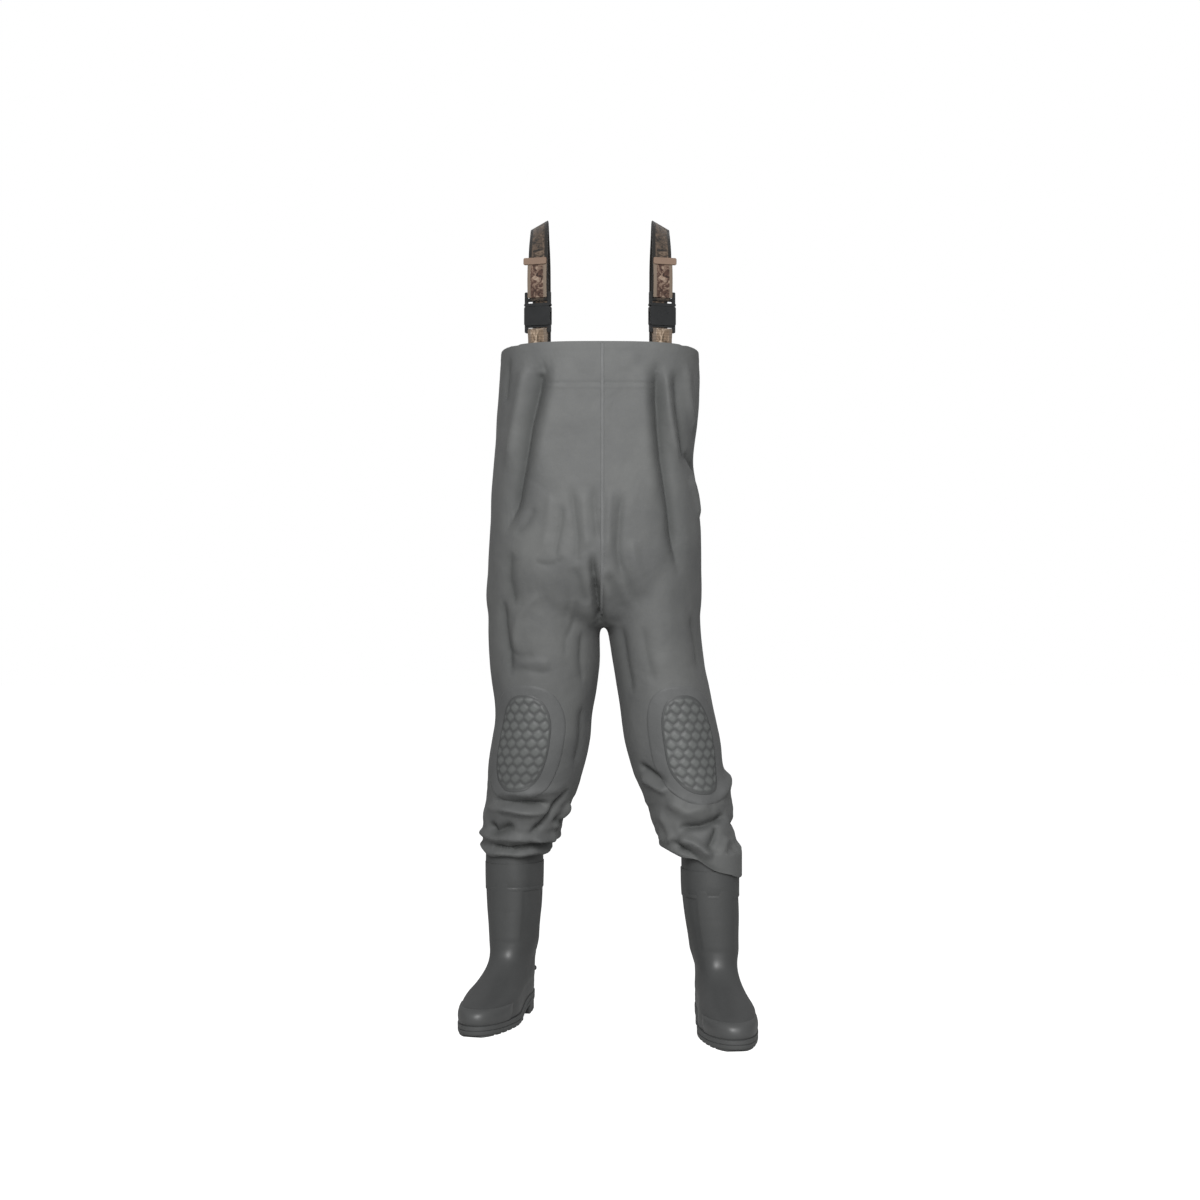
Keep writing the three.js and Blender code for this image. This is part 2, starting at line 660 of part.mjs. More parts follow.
// The free end of the webbing, in front of the lock's bars, and its sewn stop.
function strapTail() {
  const across = vector(1, 0, 0);
  const start = lockBarRise + 1 + gap;
  const end = start + tailLength - tailStopHeight;
  return ribbon([start, (start + end) / 2, end].map((z) => ({ at: vector(0, -wrapRadius, z), across })),
    webbingWidth, webbingThickness);
}

function tailStop(side) {
  const end = lockBarRise + 1 + 2 * gap + tailLength - tailStopHeight;
  return slab(webbingWidth + 7, tailStopHeight, 3 * webbingThickness, 2.5)
    .translate(side * 3.5, -wrapRadius - webbingThickness / 2, end + tailStopHeight / 2);
}

// ---- Braces ----

// The webbing from the buckle's lock over the shoulder to the back of the bib.
function shoulderStrap(side, frontYaw, backYaw, frontY, backY) {
  const x = side * braceX;
  const points = [];
  const facing = (yaw, roll) =>
    vector(Math.cos(yaw) * Math.cos(roll), Math.sin(yaw), -side * Math.sin(roll));
  const wrap = vector(-Math.sin(frontYaw), Math.cos(frontYaw), 0);
  const atLock = (y, z) => vector(x, frontY, z).addScaledVector(wrap, y);
  const bars = bibTopHeight + lockBarRise;
  for (let i = 0; i <= 8; i++) {
    const angle = Math.PI * (1 + i / 8);
    const at = atLock(wrapRadius * Math.cos(angle), bars + wrapRadius * Math.sin(angle));
    points.push({ at, across: facing(frontYaw, 0) });
  }
  const straightTop = bars + lockBarGap + 12;
  points.push({ at: atLock(wrapRadius, straightTop), across: facing(frontYaw, 0) });
  const start = atLock(wrapRadius, straightTop + 6);
  const end = vector(x, backY, crossStrapHeight + 40);
  const rise = braceHeight - start.z;
  const curve = new THREE.CatmullRomCurve3([
    start,
    vector(x, lerp(start.y, 0, 0.05), start.z + 0.24 * rise),
    vector(x, lerp(start.y, 0, 0.22), start.z + 0.58 * rise),
    vector(x, lerp(start.y, 0, 0.56), start.z + 0.9 * rise),
    vector(x, 0, braceHeight),
    vector(x, lerp(0, backY, 0.46), start.z + 0.88 * rise),
    vector(x, lerp(0, backY, 0.8), start.z + 0.54 * rise),
    vector(x, lerp(0, backY, 0.96), lerp(start.z, end.z, 0.3) + 0.16 * rise),
    end,
  ], false, "centripetal");
  const steps = 34;
  for (let i = 0; i <= steps; i++) {
    const at = curve.getPoint(i / steps);
    const high = smoothstep(at.z, start.z + 0.3 * rise, braceHeight - 4);
    const yaw = lerp(frontYaw, backYaw, smoothstep(at.y, frontY, backY));
    points.push({ at, across: facing(yaw, degToRad(shoulderSlope) * high) });
  }
  const tuckedEnd = bibBackHeight - anchorDepth;
  for (const z of [crossStrapHeight, bibBackHeight, tuckedEnd]) {
    points.push({ at: vector(x, backY, z), across: facing(backYaw, 0) });
  }
  return ribbon(points, webbingWidth, webbingThickness);
}

// The strap between the two braces, behind them and just above the bib's back edge.
function crossStrap() {
  const points = [];
  const half = braceX + webbingWidth / 2;
  const behind = -braceInset + webbingThickness + 2.4;
  for (let i = 0; i <= 16; i++) {
    const x = lerp(-half, half, i / 16);
    points.push({
      at: vector(x, bibFaceY(x, bibTopHeight, 1) + behind, crossStrapHeight),
      across: vector(0, 0, 1),
    });
  }
  return ribbon(points, webbingWidth, webbingThickness);
}

// ---- Assembly ----

const waders = new THREE.Group();

function place(name, geometry, material, parent = waders) {
  const mesh = new THREE.Mesh(geometry, material);
  mesh.name = name;
  parent.add(mesh);
  return mesh;
}

function frameAt(x, y, z, yaw) {
  const frame = new THREE.Group();
  frame.position.set(x, y, z);
  frame.rotation.z = yaw;
  waders.add(frame);
  return frame;
}

const skin = clothSkin();
for (const [word, leg] of [["right", rightLeg], ["left", leftLeg]]) {
  for (const [name, panel] of Object.entries(sidePanels(skin, leg))) {
    place(`${word}_${name}`, geometryOf(panel), materials.cloth);
  }
  const patchTop = kneeGap + patchThickness;
  const padBase = patchTop + layerGap;
  const patch = kneeLayer(leg, kneePatchHalfWidth, kneePatchHalfHeight, kneeGap, patchTop);
  const pad = kneeLayer(leg, kneePadHalfWidth, kneePadHalfHeight, padBase, padBase + padThickness);
  place(`${word}_knee_patch`, patch, materials.patch);
  place(`${word}_knee_pad`, pad, materials.pad);

  const sole = legSections(leg).at(-1);
  const bootFrame = frameAt(sole.x, sole.y, 0, degToRad(leg.yaw));
  for (const [name, [geometry, material]] of Object.entries(bootPieces(leg))) {
    place(`${word}_${name}`, geometry, material, bootFrame);
  }

  const x = leg.side * braceX;
  const frontYaw = bibFaceYaw(x, bibTopHeight, -1);
  const backYaw = bibFaceYaw(x, bibTopHeight, 1);
  const frontY = bibFaceY(x, bibTopHeight, -1) + braceInset;
  const backY = bibFaceY(x, bibTopHeight, 1) - braceInset;
  place(`${word}_shoulder_strap`, shoulderStrap(leg.side, frontYaw, backYaw, frontY, backY), materials.webbing);
  const buckleFrame = frameAt(x, frontY, bibTopHeight, frontYaw);
  place(`${word}_front_strap`, frontStrap(), materials.webbing, buckleFrame);
  place(`${word}_buckle_socket`, buckleSocket(), materials.buckle, buckleFrame);
  place(`${word}_buckle_plug`, bucklePlug(), materials.buckle, buckleFrame);
  place(`${word}_outer_prong`, buckleProng(leg.side), materials.buckle, buckleFrame);
  place(`${word}_inner_prong`, buckleProng(-leg.side), materials.buckle, buckleFrame);
  place(`${word}_strap_tail`, strapTail(), materials.webbing, buckleFrame);
  place(`${word}_tail_stop`, tailStop(leg.side), materials.webbing, buckleFrame);
  const anchor = slab(webbingWidth + 6, anchorDepth - 12, patchThickness, 4);
  const anchorBehind = webbingThickness + 0.4 + 2 * gap + patchThickness / 2;
  place(`${word}_front_anchor`, anchor.clone().translate(0, anchorBehind, -anchorDepth / 2 - 8),
    materials.patch, buckleFrame);
  const backFrame = frameAt(x, backY, bibBackHeight, backYaw);
  const backBehind = -(webbingThickness / 2 + gap + patchThickness / 2);
  place(`${word}_back_anchor`, anchor.clone().translate(0, backBehind, -anchorDepth / 2 - 8),
    materials.patch, backFrame);
}
place("front_centre_seam", centreSeam(-1), materials.seam);
place("back_centre_seam", centreSeam(1), materials.seam);
place("inner_pocket", innerPocket(), materials.patch);
place("back_cross_strap", crossStrap(), materials.webbing);

// The origin is under the middle of the whole object, on the ground.
const extent = new THREE.Box3().setFromObject(waders, true);
waders.position.set(-(extent.min.x + extent.max.x) / 2, -(extent.min.y + extent.max.y) / 2, -extent.min.z);

export default waders;
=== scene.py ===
import bmesh
import bpy
import math
import numpy as np
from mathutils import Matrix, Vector, noise
from mathutils.bvhtree import BVHTree


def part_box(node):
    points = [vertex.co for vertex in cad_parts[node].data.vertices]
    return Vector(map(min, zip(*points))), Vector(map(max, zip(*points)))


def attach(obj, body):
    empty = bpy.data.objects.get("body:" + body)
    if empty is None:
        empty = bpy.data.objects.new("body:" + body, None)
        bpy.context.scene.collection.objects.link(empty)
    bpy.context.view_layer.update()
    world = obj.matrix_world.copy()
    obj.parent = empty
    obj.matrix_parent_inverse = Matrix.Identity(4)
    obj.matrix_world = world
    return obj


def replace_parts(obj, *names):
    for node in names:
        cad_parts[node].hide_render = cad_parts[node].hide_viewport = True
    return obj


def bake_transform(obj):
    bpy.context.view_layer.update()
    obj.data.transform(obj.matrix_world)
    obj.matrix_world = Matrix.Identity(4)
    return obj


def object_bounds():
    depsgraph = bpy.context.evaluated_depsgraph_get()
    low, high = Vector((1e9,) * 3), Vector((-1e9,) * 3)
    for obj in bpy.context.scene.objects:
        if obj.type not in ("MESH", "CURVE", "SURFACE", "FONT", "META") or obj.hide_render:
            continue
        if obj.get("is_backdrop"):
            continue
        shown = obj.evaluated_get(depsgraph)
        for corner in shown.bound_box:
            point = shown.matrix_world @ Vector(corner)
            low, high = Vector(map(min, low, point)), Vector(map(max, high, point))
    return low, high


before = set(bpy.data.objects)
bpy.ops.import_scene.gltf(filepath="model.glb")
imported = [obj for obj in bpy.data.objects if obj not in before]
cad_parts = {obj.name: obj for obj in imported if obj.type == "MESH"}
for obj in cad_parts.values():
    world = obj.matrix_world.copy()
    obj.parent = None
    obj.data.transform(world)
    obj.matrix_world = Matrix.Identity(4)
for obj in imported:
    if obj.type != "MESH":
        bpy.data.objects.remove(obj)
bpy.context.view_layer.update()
scene = bpy.context.scene
bpy.ops.object.select_all(action="DESELECT")
print("frame loaded")

# The cutting plans below are in millimetres about the wearer's middle, so this is where that middle stands.
seamLow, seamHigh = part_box("front_centre_seam")
panelLow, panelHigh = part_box("right_body_panel")
wearerMiddle = Vector(((seamLow.x + seamHigh.x) / 2 - 0.004, (panelLow.y + panelHigh.y) / 2, 0))


def place(x, y, z):
    return Vector((wearerMiddle.x + x / 1000, wearerMiddle.y + y / 1000, z / 1000))


def places(points):
    return np.array([place(*p) for p in points])


# ---------- studio ----------
studio = {
    "lens": 57.1,
    "cameraPlace": (0, -3418, 720),
    "cameraTilt": 90.34,
    "floorSize": 30,
    "skyLight": 0.26,
    "floorGlow": 0.9,
    "keyPower": 74,
    "fillPower": 7,
}

camera = bpy.data.objects.new("camera", bpy.data.cameras.new("camera"))
camera.data.lens = studio["lens"]
camera.data.sensor_width = 36
camera.location = place(*studio["cameraPlace"])
camera.rotation_euler = (math.radians(studio["cameraTilt"]), 0, 0)
scene.collection.objects.link(camera)
scene.camera = camera
scene.view_settings.view_transform = "Standard"


def addLight(name, spot, size, power, aim=(0, 0, 760)):
    lamp = bpy.data.objects.new(name, bpy.data.lights.new(name, "AREA"))
    lamp.data.shape = "DISK"
    lamp.data.size = size
    lamp.data.energy = power
    lamp.location = place(*spot)
    lamp.rotation_euler = (place(*aim) - lamp.location).to_track_quat("-Z", "Y").to_euler()
    scene.collection.objects.link(lamp)


addLight("keyLight", (-120, -2450, 1950), 1.5, studio["keyPower"], (0, 0, 1000))
addLight("fillLight", (900, -3000, 1100), 1.6, studio["fillPower"])


# ---------- materials ----------
def linear(hexColour):
    channels = [int(hexColour[i : i + 2], 16) / 255 for i in (0, 2, 4)]
    return (*[c / 12.92 if c <= 0.04045 else ((c + 0.055) / 1.055) ** 2.4 for c in channels], 1)


def addNode(tree, kind, settings=None, links=None):
    node = tree.nodes.new(kind)
    for name, value in (settings or {}).items():
        if isinstance(name, str) and hasattr(node, name):
            setattr(node, name, value)
        else:
            node.inputs[name].default_value = value
    for name, source in (links or {}).items():
        tree.links.new(source, node.inputs[name])
    return node


def newMaterial(name, roughness, specular=0.5, sheen=0, coat=0):
    material = bpy.data.materials.new(name)
    material.use_nodes = True
    tree = material.node_tree
    surface = tree.nodes["Principled BSDF"]
    surface.inputs["Roughness"].default_value = roughness
    surface.inputs["Specular IOR Level"].default_value = specular
    surface.inputs["Sheen Weight"].default_value = sheen
    surface.inputs["Coat Weight"].default_value = coat
    spot = addNode(tree, "ShaderNodeTexCoord").outputs["Object"]
    return material, tree, surface, spot


def mixColours(tree, factor, one, other):
    mix = addNode(tree, "ShaderNodeMix", {"data_type": "RGBA"})
    for socket, value in ((mix.inputs[0], factor), (mix.inputs[6], one), (mix.inputs[7], other)):
        if isinstance(value, (tuple, float, int)):
            socket.default_value = value
        else:
            tree.links.new(value, socket)
    return mix.outputs[2]


def addBump(tree, surface, layers):
    # each layer is a height source, its depth in metres and its strength
    normal = None
    for height, depth, strength in layers:
        links = {"Height": height}
        if normal is not None:
            links["Normal"] = normal
        normal = addNode(tree, "ShaderNodeBump", {"Strength": strength, "Distance": depth}, links).outputs[0]
    tree.links.new(normal, surface.inputs["Normal"])


def addNoise(tree, where, scale, detail, **more):
    settings = {"Scale": scale, "Detail": detail, **more}
    return addNode(tree, "ShaderNodeTexNoise", settings, {"Vector": where}).outputs[0]


def addRange(tree, value, fromLow=0.0, fromHigh=1.0, toLow=0.0, toHigh=1.0):
    ends = {"From Min": fromLow, "From Max": fromHigh, "To Min": toLow, "To Max": toHigh}
    return addNode(tree, "ShaderNodeMapRange", ends, {"Value": value}).outputs[0]


def paler(colour, factor):
    return (*[min(channel * factor, 1) for channel in linear(colour)[:3]], 1)


# Calendered PVC on woven polyester: an even grey with faint clouding, the weave just telling through the
# coating, and a soft satin light along each fold. Its colour also carries painted shade, darker in the creases.
def makeCoatedCloth(name, dark, light, roughness):
    material, tree, surface, spot = newMaterial(name, roughness, 0.24, sheen=0.06)
    clouds = addNoise(tree, spot, 9.0, 5.0, Roughness=0.6)
    base = mixColours(tree, addRange(tree, clouds, 0.32, 0.68), linear(dark), linear(light))
    # painted shade: the colour darkens towards 3c3e3d by the crease amount stored on the mesh, standing in for the
    # shade in the cloth's creases
    creaseShade = addNode(tree, "ShaderNodeAttribute", {"attribute_name": "creaseShade"}).outputs["Fac"]
    base = mixColours(tree, addRange(tree, creaseShade, toHigh=0.7), base, linear("3c3e3d"))
    tree.links.new(base, surface.inputs["Base Color"])
    # threads 0.7 mm apart on the real cloth, drawn at 1.4 mm so that they show
    threads = {}
    for socket, axis in enumerate("XZ"):
        settings = {"bands_direction": axis, "Scale": 224.0, "Distortion": 0.6}
        threads[socket] = addNode(tree, "ShaderNodeTexWave", settings, {"Vector": spot}).outputs["Fac"]
    weave = addNode(tree, "ShaderNodeMath", {"operation": "MAXIMUM"}, threads).outputs[0]
    crumple = addNoise(tree, spot, 38.0, 3.0, Roughness=0.55, Distortion=0.4)
    wide = addNoise(tree, spot, 12.0, 2.0, Distortion=0.8)
    addBump(tree, surface, [(wide, 0.006, 0.5), (crumple, 0.0016, 0.5), (weave, 0.00012, 0.35)])
    return material


coatedCloth = makeCoatedCloth("coatedPolyester", "595a5a", "646564", 0.58)


def makePlain(name, colour, roughness, specular):
    material, tree, surface, spot = newMaterial(name, roughness, specular)
    clouds = addNoise(tree, spot, 30.0, 4.0)
    base = mixColours(tree, clouds, linear(colour), paler(colour, 1.25))
    tree.links.new(base, surface.inputs["Base Color"])
    addBump(tree, surface, [(clouds, 0.0006, 0.3)])
    return material


floorPaper, floorTree, floorSurface, _ = newMaterial("whitePaperRoll", 0.9, 0.1)
floorSurface.inputs["Base Color"].default_value = linear("c9c9c8")
floorSurface.inputs["Emission Color"].default_value = (1, 1, 1, 1)
paperSeen = addNode(floorTree, "ShaderNodeLightPath").outputs["Is Camera Ray"]
paperGlow = addRange(floorTree, paperSeen, toHigh=studio["floorGlow"])
floorTree.links.new(paperGlow, floorSurface.inputs["Emission Strength"])

bpy.ops.mesh.primitive_plane_add(size=studio["floorSize"], location=(0, 0, 0))
floor = bpy.context.object
floor.name = "floor"
floor.data.materials.append(floorPaper)
floor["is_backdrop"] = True

# The air round the object is white to look at and dimmer as a light.
sky = bpy.data.worlds.new("studioAir")
scene.world = sky
sky.use_nodes = True
skyTree = sky.node_tree
seen = addNode(skyTree, "ShaderNodeLightPath").outputs["Is Camera Ray"]
strength = addRange(skyTree, seen, toLow=studio["skyLight"])
skyTree.nodes["Background"].inputs[0].default_value = (1, 1, 1, 1)
skyTree.links.new(strength, skyTree.nodes["Background"].inputs[1])
print("studio ready")

# ---------- the cloth's cut ----------
# Rows give a height, then the middle and half sizes of the cloth there.
bibCut = [
    (695, -11, 0, 184, 72), (715, -11, 0, 190, 100), (744, -11, 0, 193, 118), (794, -10, 0, 191, 134),
    (872, -8, 0, 188, 134), (941, -10, 0, 183, 133), (991, -11, 0, 178, 131), (1060, -5, 0, 180, 130),
    (1129, -1, 0, 179, 129), (1188, 0, 0, 176, 128), (1208, 0, 0, 176, 128),
]
legCut = {
    "right": {
        "side": -1, "yaw": -13, "hem": (-150, 283), "hemSlope": -2,
        "rows": [
            (805, -98, 6, 98, 122), (695, -101, 6, 101, 108), (613, -99, 6, 98, 102), (531, -101, 4, 87, 95),
            (490, -106, 3, 88, 92), (441, -115, 6, 86, 88), (397, -123, 10, 80, 82), (352, -136, 16, 74, 79),
            (308, -145, 22, 65, 74), (280, -152, 25, 59, 69), (225, -156, 26, 58, 68),
        ],
    },
    "left": {
        "side": 1, "yaw": 5, "hem": (121, 303), "hemSlope": -20,
        "rows": [
            (805, 92, 4, 88, 122), (695, 96, 1, 83, 114), (613, 107, -8, 82, 106), (531, 122, -20, 85, 96),
            (490, 129, -26, 86, 92), (441, 138, -34, 82, 88), (397, 154, -43, 79, 83), (352, 164, -53, 72, 79),
            (308, 176, -64, 65, 74), (275, 186, -71, 57, 69), (225, 189, -73, 55, 68),
        ],
    },
}
cloth = {
    "voxel": 0.0056,
    "wall": 0.0011,
    "bibTop": 1188, "bibBack": 1165,
    "kneeJoin": 568,
    "crotch": 695, "hipSlope": 35, "hipFold": 105,
    "kneeTop": 560, "kneeBottom": 415,
    "seamX": 4, "legLength": 427, "legPower": 2.1, "tubeStep": 8.0,
    "weldHeight": 1112, "weldWidth": 2.6,
}
bibDepth = 2 * 128


def smoothstep(x, low, high):
    t = np.clip((np.asarray(x, float) - low) / (high - low), 0, 1)
    return t * t * (3 - 2 * t)


def rowAt(rows, z):
    rows = sorted(rows)
    heights = np.array([row[0] for row in rows], float)
    values = np.array([row[1:] for row in rows], float)
    i = int(np.clip(np.searchsorted(heights, z) - 1, 0, len(heights) - 2))
    step = heights[i + 1] - heights[i]
    t = min(max((z - heights[i]) / step, 0), 1)
    slopes = []
    for k in (i, i + 1):
        a, b = max(k - 1, 0), min(k + 1, len(heights) - 1)
        slopes.append((values[b] - values[a]) / (heights[b] - heights[a]) * step)
    return (
        (2 * t**3 - 3 * t**2 + 1) * values[i] + (t**3 - 2 * t**2 + t) * slopes[0]
        + (3 * t**2 - 2 * t**3) * values[i + 1] + (t**3 - t**2) * slopes[1]
    )


def bibPower(z):
    height = cloth["bibTop"] - cloth["crotch"]
    return 2.4 + 0.6 * min(max((z - cloth["crotch"]) / height, 0), 1)


def ovalPoint(row, angle, power, turn=0, out=0):
    x, y, a, b = row
    c, s = math.cos(angle), math.sin(angle)
    u = (a + out) * math.copysign(abs(c) ** (2 / power), c)
    v = (b + out) * math.copysign(abs(s) ** (2 / power), s)
    return (x + u * math.cos(turn) - v * math.sin(turn), y + u * math.sin(turn) + v * math.cos(turn))


def legTurn(leg, z):
    return math.radians(leg["yaw"] * min(max((cloth["crotch"] - z) / cloth["legLength"], 0), 1))


def hemPlane(leg):
    slope = math.radians(leg["hemSlope"])
    return place(leg["hem"][0], 0, leg["hem"][1]), Vector((-math.sin(slope), 0, math.cos(slope)))


def clothTube(name, rows, powerAt, turnAt, low, high, count):
    mesh = bmesh.new()
    rings = []
    for z in np.arange(low, high + 1, cloth["tubeStep"]):
        row = rowAt(rows, z)
        flat = [ovalPoint(row, 2 * math.pi * i / count, powerAt(z), turnAt(z)) for i in range(count)]
        rings.append([mesh.verts.new(place(x, y, z)) for x, y in flat])
    for below, above in zip(rings, rings[1:]):
        for i in range(count):
            j = (i + 1) % count
            mesh.faces.new((below[i], below[j], above[j], above[i]))
    mesh.faces.new(list(reversed(rings[0])))
    mesh.faces.new(rings[-1])
    data = bpy.data.meshes.new(name)
    mesh.to_mesh(data)
    mesh.free()
    made = bpy.data.objects.new(name, data)
    scene.collection.objects.link(made)
    return made


def choose(*objects):
    bpy.ops.object.select_all(action="DESELECT")
    for o in objects:
        o.select_set(True)
    bpy.context.view_layer.objects.active = objects[0]


def coordinates(mesh, kind="vertices", what="co"):
    values = np.zeros(len(getattr(mesh, kind)) * 3, np.float32)
    getattr(mesh, kind).foreach_get(what, values)
    return values.reshape(-1, 3).astype(float)


def legTube(word, leg):
    def turnAt(z):
        return legTurn(leg, z)

    return clothTube(word + "Tube", leg["rows"], lambda z: cloth["legPower"], turnAt, 232, 805, 90)


garment = clothTube("garment", bibCut, bibPower, lambda z: 0, cloth["crotch"], 1206, 120)
tubes = [garment] + [legTube(word, leg) for word, leg in legCut.items()]
choose(*tubes)
bpy.ops.object.join()
joinStep = garment.modifiers.new("joinTubes", "REMESH")
joinStep.mode = "VOXEL"
joinStep.voxel_size = cloth["voxel"]
bpy.ops.object.modifier_apply(modifier=joinStep.name)

mesh = bmesh.new()
mesh.from_mesh(garment.data)
for _ in range(5):
    bmesh.ops.smooth_vert(mesh, verts=mesh.verts, factor=0.5, use_axis_x=True, use_axis_y=True, use_axis_z=True)
edgeSlope = math.atan2(cloth["bibTop"] - cloth["bibBack"], bibDepth)
bibEdge = place(0, -bibDepth / 2, cloth["bibTop"]), Vector((0, math.sin(edgeSlope), math.cos(edgeSlope)))
everything = mesh.verts[:] + mesh.edges[:] + mesh.faces[:]
bmesh.ops.bisect_plane(mesh, geom=everything, plane_co=bibEdge[0], plane_no=bibEdge[1], clear_outer=True)
for leg in legCut.values():
    spot, direction = hemPlane(leg)
    shin = [v for v in mesh.verts if v.co.z < 0.42 and (v.co.x - wearerMiddle.x) * leg["side"] > 0]
    edges = {e for v in shin for e in v.link_edges}
    faces = {f for v in shin for f in v.link_faces}
    geometry = shin + list(edges) + list(faces)
    bmesh.ops.bisect_plane(mesh, geom=geometry, plane_co=spot, plane_no=-direction, clear_outer=True)
bmesh.ops.remove_doubles(mesh, verts=mesh.verts, dist=0.0012)
mesh.to_mesh(garment.data)
mesh.free()
shaft = {"clear": (55.5, 65.5), "places": {"right": (-154, 25), "left": (193, -72)}}


def treeOf(data):
    whole = bmesh.new()
    whole.from_mesh(data)
    tree = BVHTree.FromBMesh(whole)
    whole.free()
    return tree


plainTree = treeOf(garment.data)
finer = garment.modifiers.new("finer", "SUBSURF")
finer.levels = finer.render_levels = 1
bpy.ops.object.modifier_apply(modifier=finer.name)
print("cloth cut:", len(garment.data.vertices), "points")


# ---------- folds ----------
# A fold runs along points of the cloth. Each point is (x, height) on the front, or (angle, height) round a
# leg where it is written with aroundLeg. Then come its rise in mm, negative for a crease, and its width.
def frontPoint(rows, power, x, z, face=-1):
    cx, cy, a, b = rowAt(rows, z)
    across = min(abs(x - cx) / a, 0.999)
    return (x, cy + face * b * (1 - across**power) ** (1 / power), z)


def onCloth(rows, power, x, z, face=-1):
    # straight onto the plain cloth, or beside it where a fold runs off its outline
    hit = plainTree.ray_cast(place(x, face * 300, z), Vector((0, -face, 0)), 0.3)[0]
    if hit:
        return (x, (hit.y - wearerMiddle.y) * 1000, z)
    return frontPoint(rows, power, x, z, face)


def foldLine(points):
    corners = np.array(points, float)
    steps = np.linalg.norm(np.diff(corners, axis=0), axis=1)
    along = np.concatenate([[0], np.cumsum(steps)])
    count = max(int(along[-1] / 2.5), 4)
    samples = np.linspace(0, along[-1], count)
    line = np.stack([np.interp(samples, along, corners[:, i]) for i in range(3)], axis=1)
    if len(corners) > 2:  # round the corners off
        for _ in range(6):
            line[1:-1] = (line[:-2] + 2 * line[1:-1] + line[2:]) / 4
    share = samples / along[-1]
    fade = np.minimum(np.minimum(share, 1 - share) / 0.22, 1)
    return places(line), fade * fade * (3 - 2 * fade)


def foldRise(spots, lines):
    rise = np.zeros(len(spots))
    creaseShade = np.zeros(len(spots))
    for points, height, width in lines:
        line, fade = foldLine(points)
        reach = width * 3.2 / 1000
        low, high = line.min(0) - reach, line.max(0) + reach
        near = np.nonzero(((spots > low) & (spots < high)).all(1))[0]
        if not len(near):
            continue
        apart = np.linalg.norm(spots[near][:, None, :] - line[None, :, :], axis=2)
        nearest = apart.argmin(1)
        distance = apart[np.arange(len(near)), nearest] * 1000 / width
        shape = np.exp(-(distance**1.35)) if height < 0 else np.exp(-(distance**2))
        amount = shape * fade[nearest]
        rise[near] += height * amount
        # every crease also records how much painted shade darkens the cloth's colour there
        if height < 0:
            creaseShade[near] = np.maximum(creaseShade[near], amount * min(-height / 9, 1))
    return rise, creaseShade


def bibFold(points, height, width, face=-1):
    return ([onCloth(bibCut, bibPower(z), x, z, face) for x, z in points], height, width)


def legFold(word, points, height, width, face=-1):
    return ([onCloth(legCut[word]["rows"], cloth["legPower"], x, z, face) for x, z in points], height, width)


def aroundLeg(word, points, height, width):
    leg = legCut[word]
    line = []
    for (first, z0), (last, z1) in zip(points, points[1:]):
        for t in np.linspace(0, 1, 12):
            z = z0 + (z1 - z0) * t
            angle = math.radians(first + (last - first) * t)
            x, y = ovalPoint(rowAt(leg["rows"], z), angle, cloth["legPower"], legTurn(leg, z))
            line.append((x, y, z))
    return (line, height, width)


